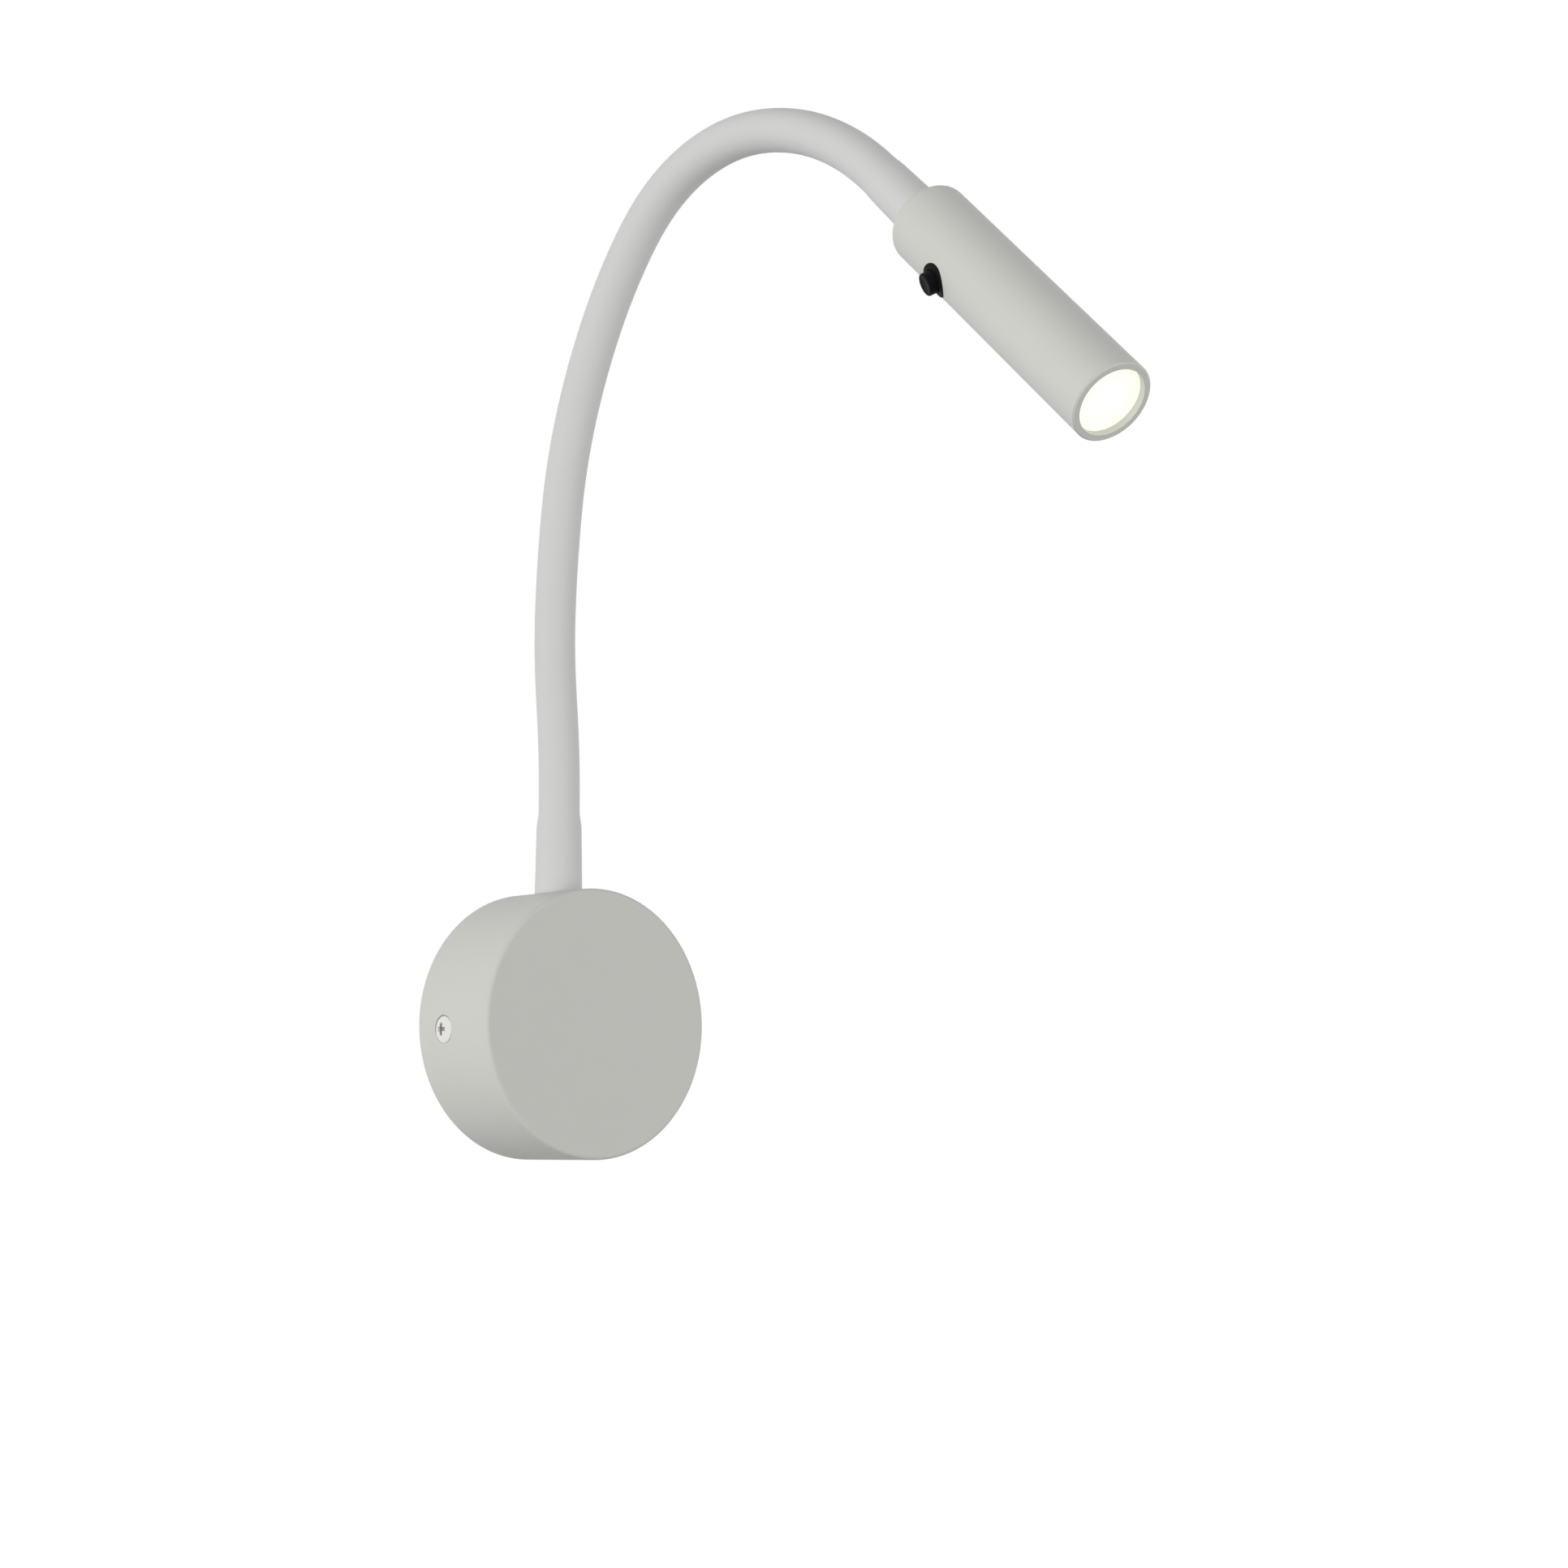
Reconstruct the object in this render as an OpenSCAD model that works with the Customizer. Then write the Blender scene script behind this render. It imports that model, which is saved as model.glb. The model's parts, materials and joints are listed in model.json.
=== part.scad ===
// Gooseneck wall light: a round wall canopy, a bendable sleeved neck and a slim spot head with a switch.
// The origin is the middle of the wall plate's back face. The wall is the plane Y = 0, the light stands out
// towards -Y, +Z is up, and all sizes are millimetres.

/* [Canopy] */
// Outside diameter of the canopy
canopy_d = 80; // [74:1:110]
// Depth from the wall to the flat front
canopy_depth = 34.5; // [30:0.5:60]
// Wall thickness
canopy_wall = 1.8; // [1.2:0.1:2.6]
// Radius of the rounded front edge
canopy_edge = 1.2; // [0.4:0.1:1.6]
// Distance of the neck from the wall
neck_depth = 14.2; // [13:0.1:17]
// Depth of the neck's seat below the canopy's crown
seat_depth = 4; // [3:0.1:6]
// Diameter of the pad that carries the neck
pad_d = 22; // [19:0.5:25]
// Thickness of the pad under the seat
pad_t = 3.5; // [2.5:0.1:5]

/* [Wall plate] */
// Sheet thickness of the plate and its ears
plate_t = 1.5; // [1:0.1:2.2]
// Gap between the plate's rim and the canopy's inside
plate_rim_gap = 4; // [2:0.5:6]
// Width of the two ears that take the side screws
ear_w = 14; // [11:0.5:18]
// Length of the ears past the side screws
ear_margin = 5; // [4:0.5:8]
// Corner cut at the free end of an ear
ear_corner = 3; // [1:0.5:5]
// Distance between the two wall screw slots
slot_spacing = 56; // [50:1:58]
// Length of a wall screw slot
slot_len = 9; // [6:0.5:10]
// Width of a wall screw slot
slot_w = 4.4; // [3.4:0.1:5.4]
// Diameter of the cable entry
cable_hole_d = 12; // [8:0.5:14]
// Distance of the cable entry from the middle, sideways
cable_hole_x = 13; // [11:0.5:16]
// Height of the cable entry above the middle
cable_hole_z = 14; // [11:0.5:18]

/* [Side screws] */
// Thread diameter
screw_d = 4; // [3:0.5:5]
// Head diameter
screw_head_d = 8; // [6.5:0.5:10]
// Height of the head
screw_head_h = 1.6; // [1.2:0.1:2.5]
// Height of the head's straight rim
screw_rim_h = 0.6; // [0.3:0.1:0.9]
// Length of the thread past the ear
screw_past = 2; // [1:0.5:5]
// Distance of the screws from the wall
screw_depth = 12.5; // [10:0.5:16]
// Drop of the screws below the canopy's axis
screw_drop = 2; // [0:0.5:3]
// Depth of a screw's flat seat at its shallowest edge
seat_bite = 0.15; // [0.1:0.05:0.3]
// Length of the cross recess
recess_len = 4; // [2.5:0.5:5]
// Width of the cross recess
recess_w = 0.9; // [0.6:0.1:1.2]
// Depth of the cross recess
recess_depth = 0.9; // [0.5:0.1:1.1]

/* [Driver and terminals] */
// Width of the driver
driver_w = 38; // [34:1:42]
// Height of the driver
driver_h = 20; // [16:1:26]
// Thickness of the driver
driver_t = 16; // [15:0.5:20]
// Height of the driver's middle
driver_z = -8; // [-12:0.5:-7]
// Corner cut of the driver's case
driver_corner = 1.5; // [0.5:0.25:3]
// Thickness of the driver's foam pad
foam_t = 1; // [0.5:0.25:2]
// Width of the terminal block
block_w = 14; // [12:0.5:15]
// Height of the terminal block
block_h = 12; // [9:0.5:16]
// Thickness of the terminal block
block_t = 10; // [8:0.5:14]
// Distance between the two poles
pole_pitch = 7; // [6:0.25:8]
// Diameter of a terminal screw
pole_screw_d = 3.6; // [2.6:0.1:4]
// Length of a terminal screw
pole_screw_len = 3; // [2:0.25:4]
// Depth of a terminal screw's head below the block's face
pole_screw_sink = 0.6; // [0.2:0.1:1.5]
// Length of the feed wires between the block and the driver
feed_len = 6; // [4:0.5:9]
// Diameter of a feed wire
feed_d = 2; // [1.4:0.1:2.4]
// Depth of a feed wire in the block
feed_grip = 4; // [2:0.5:6]

/* [Neck] */
// Outside diameter of the soft sleeve
sleeve_d = 12.4; // [11.4:0.1:14]
// Outside diameter of the sleeve's thick end on the canopy
collar_d = 14.4; // [13.8:0.1:16]
// Outside diameter of the sleeve's thick end on the head
tip_collar_d = 13.8; // [13.6:0.1:16]
// Length of the thick end on the canopy
collar_len = 22; // [21:0.5:25]
// Length of the thick end on the head
tip_collar_len = 19.5; // [19:0.5:25]
// Draft of a thick end, by which its radius lessens over its length
collar_draft = 0.4; // [0:0.05:0.5]
// Length over which a thick end narrows to the neck
collar_taper = 5.5; // [4:0.5:8]
// Outside diameter of the steel core
core_d = 8.8; // [8:0.1:9.4]
// Bore of the steel core
core_bore = 5; // [4.6:0.1:5.6]
// Length of one core link along the neck
link_len = 29.5; // [24:0.5:34]
// Straight length from the canopy's seat to the first link
root_len = 33; // [30:0.5:50]
// Straight length from the last link to the head
tip_len = 25.5; // [25:0.5:50]
// Diameter of the lead inside the neck
lead_d = 4.2; // [3.4:0.1:4.4]

/* [Neck fittings] */
// Wall of the barrel that is crimped on the core
barrel_wall = 1.15; // [0.8:0.05:1.4]
// Length of the barrel above the flange
barrel_len = 20; // [16:0.5:20.5]
// Depth of the barrel's floor above the flange's seat
barrel_floor = 2; // [1.4:0.1:4]
// Diameter of the flange
flange_d = 13.4; // [12.5:0.1:13.7]
// Thickness of the flange
flange_t = 1.2; // [0.8:0.1:1.8]
// Thread diameter of the nipple
nipple_d = 10; // [8.5:0.25:11]
// Length of the nipple past its nut
nipple_past = 1.5; // [0.5:0.5:3]
// Width across the flats of the nut
nut_af = 14; // [13:0.5:15]
// Thickness of the nut
nut_t = 4; // [3:0.25:5]
// Outside diameter of the lock washer
washer_d = 16; // [14:0.5:17]
// Thickness of the lock washer
washer_t = 1; // [0.6:0.1:1.5]

/* [Head] */
// Outside diameter of the head
head_d = 23; // [22.6:0.1:30]
// Length of the head
head_len = 92; // [84:0.5:120]
// Wall thickness of the head
head_wall = 1.9; // [1.4:0.1:2.2]
// Thickness of the head's rear wall
rear_wall = 4; // [3.5:0.1:6]
// Radius of the rounded rear edge
rear_edge = 3; // [1.5:0.1:3.4]
// Chamfer of the front rim
rim_chamfer = 0.4; // [0.2:0.05:0.8]

/* [Light source] */
// Depth of the lens below the front rim
lens_recess = 2; // [1:0.1:4]
// Thickness of the lens's rim
lens_rim_t = 1.5; // [1:0.1:2.5]
// Depth of the lens's cone behind its rim
lens_cone = 10.4; // [8:0.2:11]
// Diameter of the lens's back end
lens_back_d = 8; // [6.4:0.2:9]
// Diameter of the pocket over the chip
pocket_d = 4.8; // [4:0.1:5.4]
// Depth of the pocket over the chip
pocket_depth = 4.6; // [3:0.2:6]
// Length of the lens holder
holder_len = 11.8; // [11.6:0.1:14]
// Wall of the lens holder
holder_wall = 0.9; // [0.6:0.1:1.2]
// Diameter of the chip's board
board_d = 17.6; // [16.4:0.2:17.6]
// Thickness of the chip's board
board_t = 1.2; // [0.8:0.1:2]
// Width of the chip
chip_w = 3.5; // [2.5:0.1:4]
// Thickness of the chip
chip_t = 0.8; // [0.4:0.1:1.2]
// Diameter of the chip's dome
dome_d = 2.6; // [1.6:0.1:3]
// Length of the heat sink
sink_len = 22; // [14:0.5:26]
// Distance between the two board screws
board_screw_spacing = 12.4; // [11:0.2:12.6]
// Thread diameter of a board screw
board_screw_d = 2; // [1.4:0.1:2.2]
// Head diameter of a board screw
board_head_d = 3.6; // [3:0.1:4]
// Head height of a board screw
board_head_h = 1.1; // [0.6:0.1:1.4]
// Thread length of a board screw
board_screw_len = 5; // [3:0.5:8]
// Width of the wire groove in the heat sink
groove_w = 5.6; // [5:0.2:7]
// Depth of the wire groove in the heat sink
groove_depth = 2.8; // [2.6:0.1:4]

/* [Switch] */
// Distance of the switch from the head's rear
switch_pos = 23.8; // [22:0.2:32]
// Turn of the switch about the head, from its side towards its underside
switch_angle = 38; // [0:1:90]
// Diameter of the bezel
bezel_d = 9.7; // [8.8:0.1:11]
// Rise of the bezel above the head
bezel_rise = 0.4; // [0.3:0.1:1.5]
// Thickness of the lip that keeps the button in
lip_t = 1.2; // [0.6:0.1:1.6]
// Diameter of the threaded bushing
bushing_d = 8; // [7.8:0.1:8.4]
// Diameter of the case behind the bushing
case_d = 7.6; // [6.4:0.1:7.8]
// Depth of the case below the bezel's face
case_depth = 17; // [15:0.5:18]
// Length of the threaded bushing
bushing_len = 8; // [7:0.5:9]
// Width across the flats of the ring nut
ring_nut_af = 10; // [9.4:0.2:11]
// Thickness of the ring nut
ring_nut_t = 1.8; // [1:0.1:2.4]
// Diameter of the button
button_d = 6.3; // [5.4:0.1:6.4]
// Rise of the button above the bezel
button_rise = 2.4; // [1.6:0.1:3]
// Travel of the button
button_travel = 1.2; // [0.8:0.1:1.4]
// Chamfer of the button's top edge
button_chamfer = 0.4; // [0.2:0.1:0.8]
// Diameter of the collar under the lip
button_collar_d = 6.8; // [6.6:0.1:6.9]
// Thickness of the collar under the lip
button_collar_t = 1; // [0.6:0.1:1.5]
// Slack of the spring past the button's travel
spring_slack = 2.8; // [1:0.1:4]
// Middle diameter of the spring
spring_d = 4.6; // [3.6:0.1:5]
// Wire diameter of the spring
spring_wire = 0.5; // [0.4:0.1:0.7]
// Turns of the spring
spring_turns = 6; // [4:1:7]
// Length of a solder tab
tab_len = 2.8; // [2:0.1:3.4]
// Width of a solder tab
tab_w = 1.8; // [1.2:0.1:2.4]
// Thickness of a solder tab
tab_t = 0.5; // [0.3:0.1:0.8]
// Distance between the two solder tabs
tab_pitch = 4.4; // [3.8:0.1:5]
// Diameter of a wire in the head
wire_d = 1.4; // [1:0.1:1.5]

/* [Clearances] */
// Radial gap of pieces that are pressed, crimped or screwed together
fit_gap = 0.05; // [0.02:0.01:0.1]
// Radial gap of the sliding button
run_gap = 0.1; // [0.05:0.01:0.15]
// Radial gap of clearance holes
hole_gap = 0.2; // [0.1:0.05:0.4]
// Gap between the ball and the socket of two links
joint_gap = 0.35; // [0.3:0.05:0.5]
// Step from the core's outside down to its balls
ball_step = 0.1; // [0.05:0.05:0.3]
// Length of a ball's root in the wall of its tube
ball_root = 1; // [0.5:0.1:1.5]
// Gap between the core and the sleeve
skin_gap = 0.35; // [0.3:0.05:0.5]
// Gap between the ears and the canopy's inside
ear_gap = 0.3; // [0.1:0.05:0.6]

/* [Hidden] */
$fn = 64;
// Sides of the sleeve, of the lead and of the wires
sleeve_sides = 24;
lead_sides = 10;
wire_sides = 6;
// Steps along the neck in one link, and between two points of a wire
link_steps = 6;
wire_steps = 4;
// Steps along the narrowing of a thick end
taper_steps = 4;
// Rings of the spring in one turn
spring_rings = 8;
// Overshoot of a cut past the face that it opens
cut = 1;

// Bend of each core link in degrees, forwards and down, from the canopy to the head
neck_bends = [-7, 10, 5, 12.5, 10.5, 13, 29, 25, 18, 17];
links = len(neck_bends);
neck_len = links * link_len;

canopy_r = canopy_d / 2;
canopy_in_r = canopy_r - canopy_wall;
seat_z = canopy_r - seat_depth;
collar_r = collar_d / 2;
sleeve_r = sleeve_d / 2;
core_r = core_d / 2;
bore_r = core_bore / 2;
ball_r = core_r - ball_step;
socket_r = ball_r + joint_gap;
barrel_r = core_r + fit_gap + barrel_wall;
nipple_r = nipple_d / 2;
barrel_bore_r = core_r + fit_gap;
pad_bottom = seat_z - pad_t;
nipple_end = pad_bottom - washer_t - nut_t - nipple_past;

plate_r = canopy_in_r - plate_rim_gap;
ear_x = sqrt(pow(canopy_in_r, 2) - pow(ear_w / 2 + screw_drop, 2)) - ear_gap;
screw_seat_x = sqrt(pow(canopy_r, 2) - pow(screw_head_d / 2 + hole_gap + screw_drop, 2)) - seat_bite;
driver_top = driver_z + driver_h / 2;
driver_back = plate_t + foam_t;
block_x = -(driver_w - block_w) / 2;
block_bottom = driver_top + feed_len;

head_r = head_d / 2;
head_bore_r = head_r - head_wall;
head_nipple_end = rear_wall + washer_t + nut_t + nipple_past;
lens_front = head_len - lens_recess;
lens_seat = lens_front - lens_rim_t;
board_front = lens_seat - holder_len;
board_back = board_front - board_t;
sink_back = board_back - sink_len;
lens_back = lens_seat - lens_cone;
holder_bore_r = head_bore_r - fit_gap - holder_wall;

bezel_top = head_r + bezel_rise;
button_r = button_d / 2;
button_collar_r = button_collar_d / 2;
button_top = bezel_top + button_rise;
lip_under = bezel_top - lip_t;
collar_top = lip_under - fit_gap;
collar_under = collar_top - button_collar_t;
spring_len = button_travel + spring_turns * spring_wire + spring_slack;
spring_floor = collar_under - spring_len;
cavity_r = button_collar_r + run_gap;
ring_nut_corner = ring_nut_af / 2 / cos(30);
ring_nut_top = sqrt(pow(head_bore_r, 2) - pow(ring_nut_corner, 2)) - run_gap;
case_bottom = bezel_top - case_depth;
tab_end = case_bottom - tab_len;
lead_end = head_nipple_end + nipple_past;

// Hand-chosen routes of the head's wires, as across, sideways and along the head.
// Each wire runs straight from its first point to its second, and smoothly through the others.
wire_foot = lead_end + fit_gap;
wire_stub = wire_d / 2;
tab_x = tab_end + wire_d;
tab_off = tab_pitch / 2 + tab_t / 2 + wire_d / 2;
groove_x = wire_d / 2 + 3 * hole_gap - head_bore_r;
core_to_tab = [[-1, 0, wire_foot], [-1, 0, wire_foot + wire_stub], [-2.2, 0, wire_foot + 1.6],
               [-5.2, 0, switch_pos - 6], [tab_x, 0, switch_pos - 4.6], [tab_x, 0, switch_pos - tab_off]];
tab_to_board = [[tab_x, 0, switch_pos + tab_off], [tab_x, 0, switch_pos + tab_off + wire_stub],
                [tab_x - 0.6, 0, switch_pos + 7], [groove_x, -1.2, sink_back - 6],
                [groove_x, -1.2, sink_back], [groove_x, -1.2, board_back]];
core_to_board = [[0.9, 0.6, wire_foot], [0.9, 0.6, wire_foot + wire_stub], [0.6, 2.4, wire_foot + 1.8],
                 [-0.6, 5.8, switch_pos - 4], [-1.4, 6.6, switch_pos], [-3.4, 5.8, switch_pos + 8],
                 [groove_x, 1.4, sink_back - 6], [groove_x, 1.4, sink_back], [groove_x, 1.4, board_back]];

// Sum of the first n values of a list
function sum_first(v, n) = n <= 0 ? 0 : v[n - 1] + sum_first(v, n - 1);

// Direction of the neck at a heading, 0 is straight up and 90 is straight out from the wall
function along(heading) = [0, -sin(heading), cos(heading)];

// Direction towards the inside of a forward bend at a heading
function inward(heading) = [0, -cos(heading), -sin(heading)];

// Step from the start of an arc to its end
function arc_step(length, bend, heading) = abs(bend) < 0.01
    ? length * along(heading)
    : let (r = length / bend * 180 / PI)
      r * sin(bend) * along(heading) + r * (1 - cos(bend)) * inward(heading);

headings = [for (k = [0:links]) sum_first(neck_bends, k)];

// Place of joint k, where link k + 1 begins
function joint_at(k) = k == 0
    ? [0, -neck_depth, seat_z + root_len]
    : joint_at(k - 1) + arc_step(link_len, neck_bends[k - 1], headings[k - 1]);

joints = [for (k = [0:links]) joint_at(k)];
head_heading = headings[links];
head_rear = joints[links] + tip_len * along(head_heading);

// Point and heading of the neck's middle line at a length u past the first joint
function neck_place(u) = u < 0
    ? [joints[0] + u * along(0), 0]
    : u >= neck_len
    ? [joints[links] + (u - neck_len) * along(head_heading), head_heading]
    : let (k = floor(u / link_len), part = u - k * link_len, bend = neck_bends[k] * part / link_len)
      [joints[k] + arc_step(part, bend, headings[k]), headings[k] + bend];

// Ring of points round the neck's middle line
function neck_ring(u, r, sides) = let (place = neck_place(u), h = place[1])
    [for (i = [0:sides - 1]) let (a = 360 * i / sides)
        place[0] + r * [cos(a), sin(a) * cos(h), sin(a) * sin(h)]];

// Evenly spaced lengths along the bending part of the neck
bend_stations = [for (i = [0:links * link_steps]) i * link_len / link_steps];

// Smooth step from 0 to 1
function ease(t) = let (c = min(max(t, 0), 1)) c * c * (3 - 2 * c);

// Values in rising order, each once
function rising(v) = len(v) < 2 ? v
    : concat(rising([for (x = v) if (x < v[0]) x]), [v[0]], rising([for (x = v) if (x > v[0]) x]));

// Distances from an end of the sleeve that its shape needs
function end_stations(length) = concat([0, length / 2, barrel_len - flange_t + skin_gap],
    [for (i = [0:taper_steps]) length + collar_taper * i / taper_steps]);

// Lengths along the sleeve: from the canopy's flange to the head
sleeve_from = flange_t - root_len;
sleeve_to = neck_len + tip_len;
sleeve_stations = rising(concat([for (e = end_stations(collar_len)) sleeve_from + e],
                                bend_stations,
                                [for (e = end_stations(tip_collar_len)) sleeve_to - e]));

// Outside of the sleeve at a distance e from an end with diameter d
function end_out(e, d, length) = let (thick = d / 2 - collar_draft * min(e / length, 1))
    thick - (thick - sleeve_r) * ease((e - length) / collar_taper);
function sleeve_out(u) = max(end_out(u - sleeve_from, collar_d, collar_len),
                             end_out(sleeve_to - u, tip_collar_d, tip_collar_len));

// Distance of a point of the sleeve from its nearer end
function from_end(u) = min(u - sleeve_from, sleeve_to - u);
function sleeve_in(u) = from_end(u) < barrel_len - flange_t + skin_gap * 2
    ? barrel_r + skin_gap / 2
    : core_r + skin_gap;

// Points between p1 and p2 on a smooth curve through four points
function curve(p0, p1, p2, p3, t) = 0.5 * (2 * p1 + (p2 - p0) * t + (2 * p0 - 5 * p1 + 4 * p2 - p3) * t * t
    + (3 * p1 - p0 - 3 * p2 + p3) * t * t * t);

// Route smoothed through all its points
function smooth_route(p) = let (n = len(p) - 1)
    [for (i = [0:n - 1], s = [0:(i == n - 1 ? wire_steps : wire_steps - 1)])
        curve(p[max(i - 1, 0)], p[i], p[i + 1], p[min(i + 2, n)], s / wire_steps)];

// Ring square to a route at its point i
function route_ring(p, i, r, sides) =
    let (n = len(p) - 1, step = p[min(i + 1, n)] - p[max(i - 1, 0)], t = step / norm(step),
         side = cross([0, 1, 0], t), e1 = side / norm(side), e2 = cross(t, e1))
    [for (j = [0:sides - 1]) let (a = 360 * j / sides) p[i] + r * (cos(a) * e1 + sin(a) * e2)];

// Skin over a row of rings, closed to a loop or with a cap at each end
module skin(rings, looped) {
    n = len(rings);
    m = len(rings[0]);
    bands = looped ? n : n - 1;
    sides = [for (j = [0:bands - 1], i = [0:m - 1])
        let (a = j * m, b = ((j + 1) % n) * m, k = (i + 1) % m)
        each [[a + i, b + i, b + k], [a + i, b + k, a + k]]];
    caps = looped ? [] : [[for (i = [0:m - 1]) i], [for (i = [m - 1:-1:0]) (n - 1) * m + i]];
    polyhedron(points = [for (ring = rings) each ring], faces = concat(sides, caps), convexity = 10);
}

// Frames: out of the wall, at joint k, in the head and at the switch
module out_of_wall() rotate([90, 0, 0]) children();
module at_joint(k) translate(joints[k]) rotate([headings[k], 0, 0]) children();
module in_head() translate(head_rear) rotate([head_heading, 0, 0]) children();
module round_switch() in_head() rotate([0, 0, 180 + switch_angle]) children();
module in_switch() round_switch() translate([0, 0, switch_pos]) rotate([0, 90, 0]) children();

// Tube of the core bent by an angle, from the origin upwards and towards -Y
module bent_tube(bend) {
    r = link_len / abs(bend) * 180 / PI;
    rotate([0, 0, bend < 0 ? 180 : 0])
        translate([0, -r, 0])
            rotate([90, 0, 90])
                rotate_extrude(angle = abs(bend))
                    translate([r, 0]) core_section();
}

module core_section() {
    difference() {
        circle(core_r);
        circle(bore_r);
    }
}

module straight_tube(length) linear_extrude(length) core_section();

// Upper half of a link's ball, rooted in the tube's wall, with a slightly wider bore than the tube
module ball_end() {
    rotate_extrude()
        difference() {
            intersection() {
                circle(ball_r);
                translate([0, -ball_root]) square([ball_r, ball_r + ball_root]);
            }
            translate([0, -ball_r]) square([bore_r + ball_step, 2 * ball_r]);
        }
}

// Crimp fitting: nipple below the seat at Z = 0, flange on the seat and barrel above it
module fitting(nipple_len) {
    difference() {
        union() {
            translate([0, 0, -nipple_len]) cylinder(h = nipple_len + flange_t, r = nipple_r);
            cylinder(h = flange_t, d = flange_d);
            cylinder(h = barrel_len, r = barrel_r);
        }
        translate([0, 0, -nipple_len - cut]) cylinder(h = nipple_len + barrel_len, r = bore_r);
        translate([0, 0, barrel_floor]) cylinder(h = barrel_len, r = barrel_bore_r);
    }
}

module hex_nut(af, t, hole_r) {
    difference() {
        cylinder(h = t, d = af / cos(30), $fn = 6);
        translate([0, 0, -cut]) cylinder(h = t + 2 * cut, r = hole_r);
    }
}

module washer() {
    difference() {
        cylinder(h = washer_t, d = washer_d);
        translate([0, 0, -cut]) cylinder(h = washer_t + 2 * cut, r = nipple_r + fit_gap);
    }
}

// Square-cornered outline with its four corners cut
module cut_corner_outline(w, h, c) {
    polygon([[-w / 2 + c, -h / 2], [w / 2 - c, -h / 2], [w / 2, -h / 2 + c], [w / 2, h / 2 - c],
             [w / 2 - c, h / 2], [-w / 2 + c, h / 2], [-w / 2, h / 2 - c], [-w / 2, -h / 2 + c]]);
}

// Place on the left and on the right side, pointing outwards along Z
module at_side_screws() {
    for (side = [-1, 1])
        translate([0, -screw_depth, -screw_drop]) rotate([0, 90 * side, 0]) children();
}

// Canopy with its rounded front edge, neck pad and screw seats
module canopy() {
    color("#c9cac5")
    difference() {
        union() {
            out_of_wall() rotate_extrude() canopy_section();
            intersection() {
                translate([0, -neck_depth, pad_bottom]) cylinder(h = canopy_r, d = pad_d);
                out_of_wall() cylinder(h = canopy_depth - canopy_wall / 2, r = canopy_r - canopy_wall / 2);
            }
        }
        translate([0, -neck_depth, seat_z]) cylinder(h = canopy_r, r = collar_r + hole_gap);
        translate([0, -neck_depth, 0]) cylinder(h = canopy_r, r = nipple_r + hole_gap);
        at_side_screws() cylinder(h = canopy_r + cut, d = screw_d + 2 * hole_gap);
        at_side_screws()
            translate([0, 0, screw_seat_x]) cylinder(h = canopy_wall, d = screw_head_d + 2 * hole_gap);
    }
}

module canopy_section() {
    difference() {
        union() {
            square([canopy_r - canopy_edge, canopy_depth]);
            square([canopy_r, canopy_depth - canopy_edge]);
            translate([canopy_r - canopy_edge, canopy_depth - canopy_edge]) circle(canopy_edge);
        }
        translate([0, -cut]) square([canopy_in_r, canopy_depth - canopy_wall + cut]);
    }
}

// Wall plate with bent ears, wall screw slots and the cable entry
module wall_plate() {
    color("#b8bcc0")
    difference() {
        union() {
            out_of_wall() cylinder(h = plate_t, r = plate_r);
            translate([-ear_x, -plate_t, -ear_w / 2 - screw_drop]) cube([2 * ear_x, plate_t, ear_w]);
            for (side = [0, 1]) mirror([side, 0, 0]) ear();
        }
        for (side = [-1, 1]) translate([side * slot_spacing / 2, 0, 0]) out_of_wall() slot();
        translate([cable_hole_x, cut, cable_hole_z])
            out_of_wall() cylinder(h = plate_t + 2 * cut, d = cable_hole_d);
        at_side_screws() cylinder(h = canopy_r, d = screw_d + 2 * fit_gap);
    }
}

// Ear that is bent out of the plate on the right
module ear() {
    length = screw_depth + ear_margin;
    translate([ear_x - plate_t, 0, -screw_drop])
        rotate([90, 0, 90])
            linear_extrude(plate_t)
                polygon([[0, -ear_w / 2], [0, ear_w / 2], [ear_corner - length, ear_w / 2],
                         [-length, ear_w / 2 - ear_corner], [-length, ear_corner - ear_w / 2],
                         [ear_corner - length, -ear_w / 2]]);
}

module slot() {
    run = slot_len - slot_w;
    translate([0, 0, -cut])
        linear_extrude(plate_t + 2 * cut) {
            square([run, slot_w], center = true);
            for (side = [-1, 1]) translate([side * run / 2, 0]) circle(d = slot_w);
        }
}

// Pan head screws that hold the canopy on the ears
module canopy_screws() {
    color("#d8d9d6")
    at_side_screws()
        difference() {
            union() {
                translate([0, 0, screw_seat_x]) rotate_extrude() pan_head_section();
                translate([0, 0, ear_x - plate_t - screw_past])
                    cylinder(h = screw_seat_x + screw_rim_h - ear_x + plate_t + screw_past, d = screw_d);
            }
            translate([0, 0, screw_seat_x + screw_head_h])
                for (turn = [0, 90])
                    rotate([0, 0, turn]) cube([recess_len, recess_w, 2 * recess_depth], center = true);
        }
}

module pan_head_section() {
    r = screw_head_d / 2;
    rise = screw_head_h - screw_rim_h;
    crown_r = (r * r + rise * rise) / (2 * rise);
    intersection() {
        square([r, screw_head_h]);
        translate([0, screw_head_h - crown_r]) circle(crown_r);
    }
}

// Potted driver behind the canopy
module led_driver() {
    color("#e9e9e4")
    translate([0, -driver_back, driver_z])
        out_of_wall() linear_extrude(driver_t) cut_corner_outline(driver_w, driver_h, driver_corner);
}

module driver_pad() {
    inset = 2 * driver_corner;
    color("#3b3d3f")
    translate([0, -plate_t, driver_z])
        out_of_wall() linear_extrude(foam_t)
            cut_corner_outline(driver_w - inset, driver_h - inset, driver_corner);
}

module at_poles() {
    for (side = [-1, 1]) translate([block_x + side * pole_pitch / 2, 0, 0]) children();
}

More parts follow.
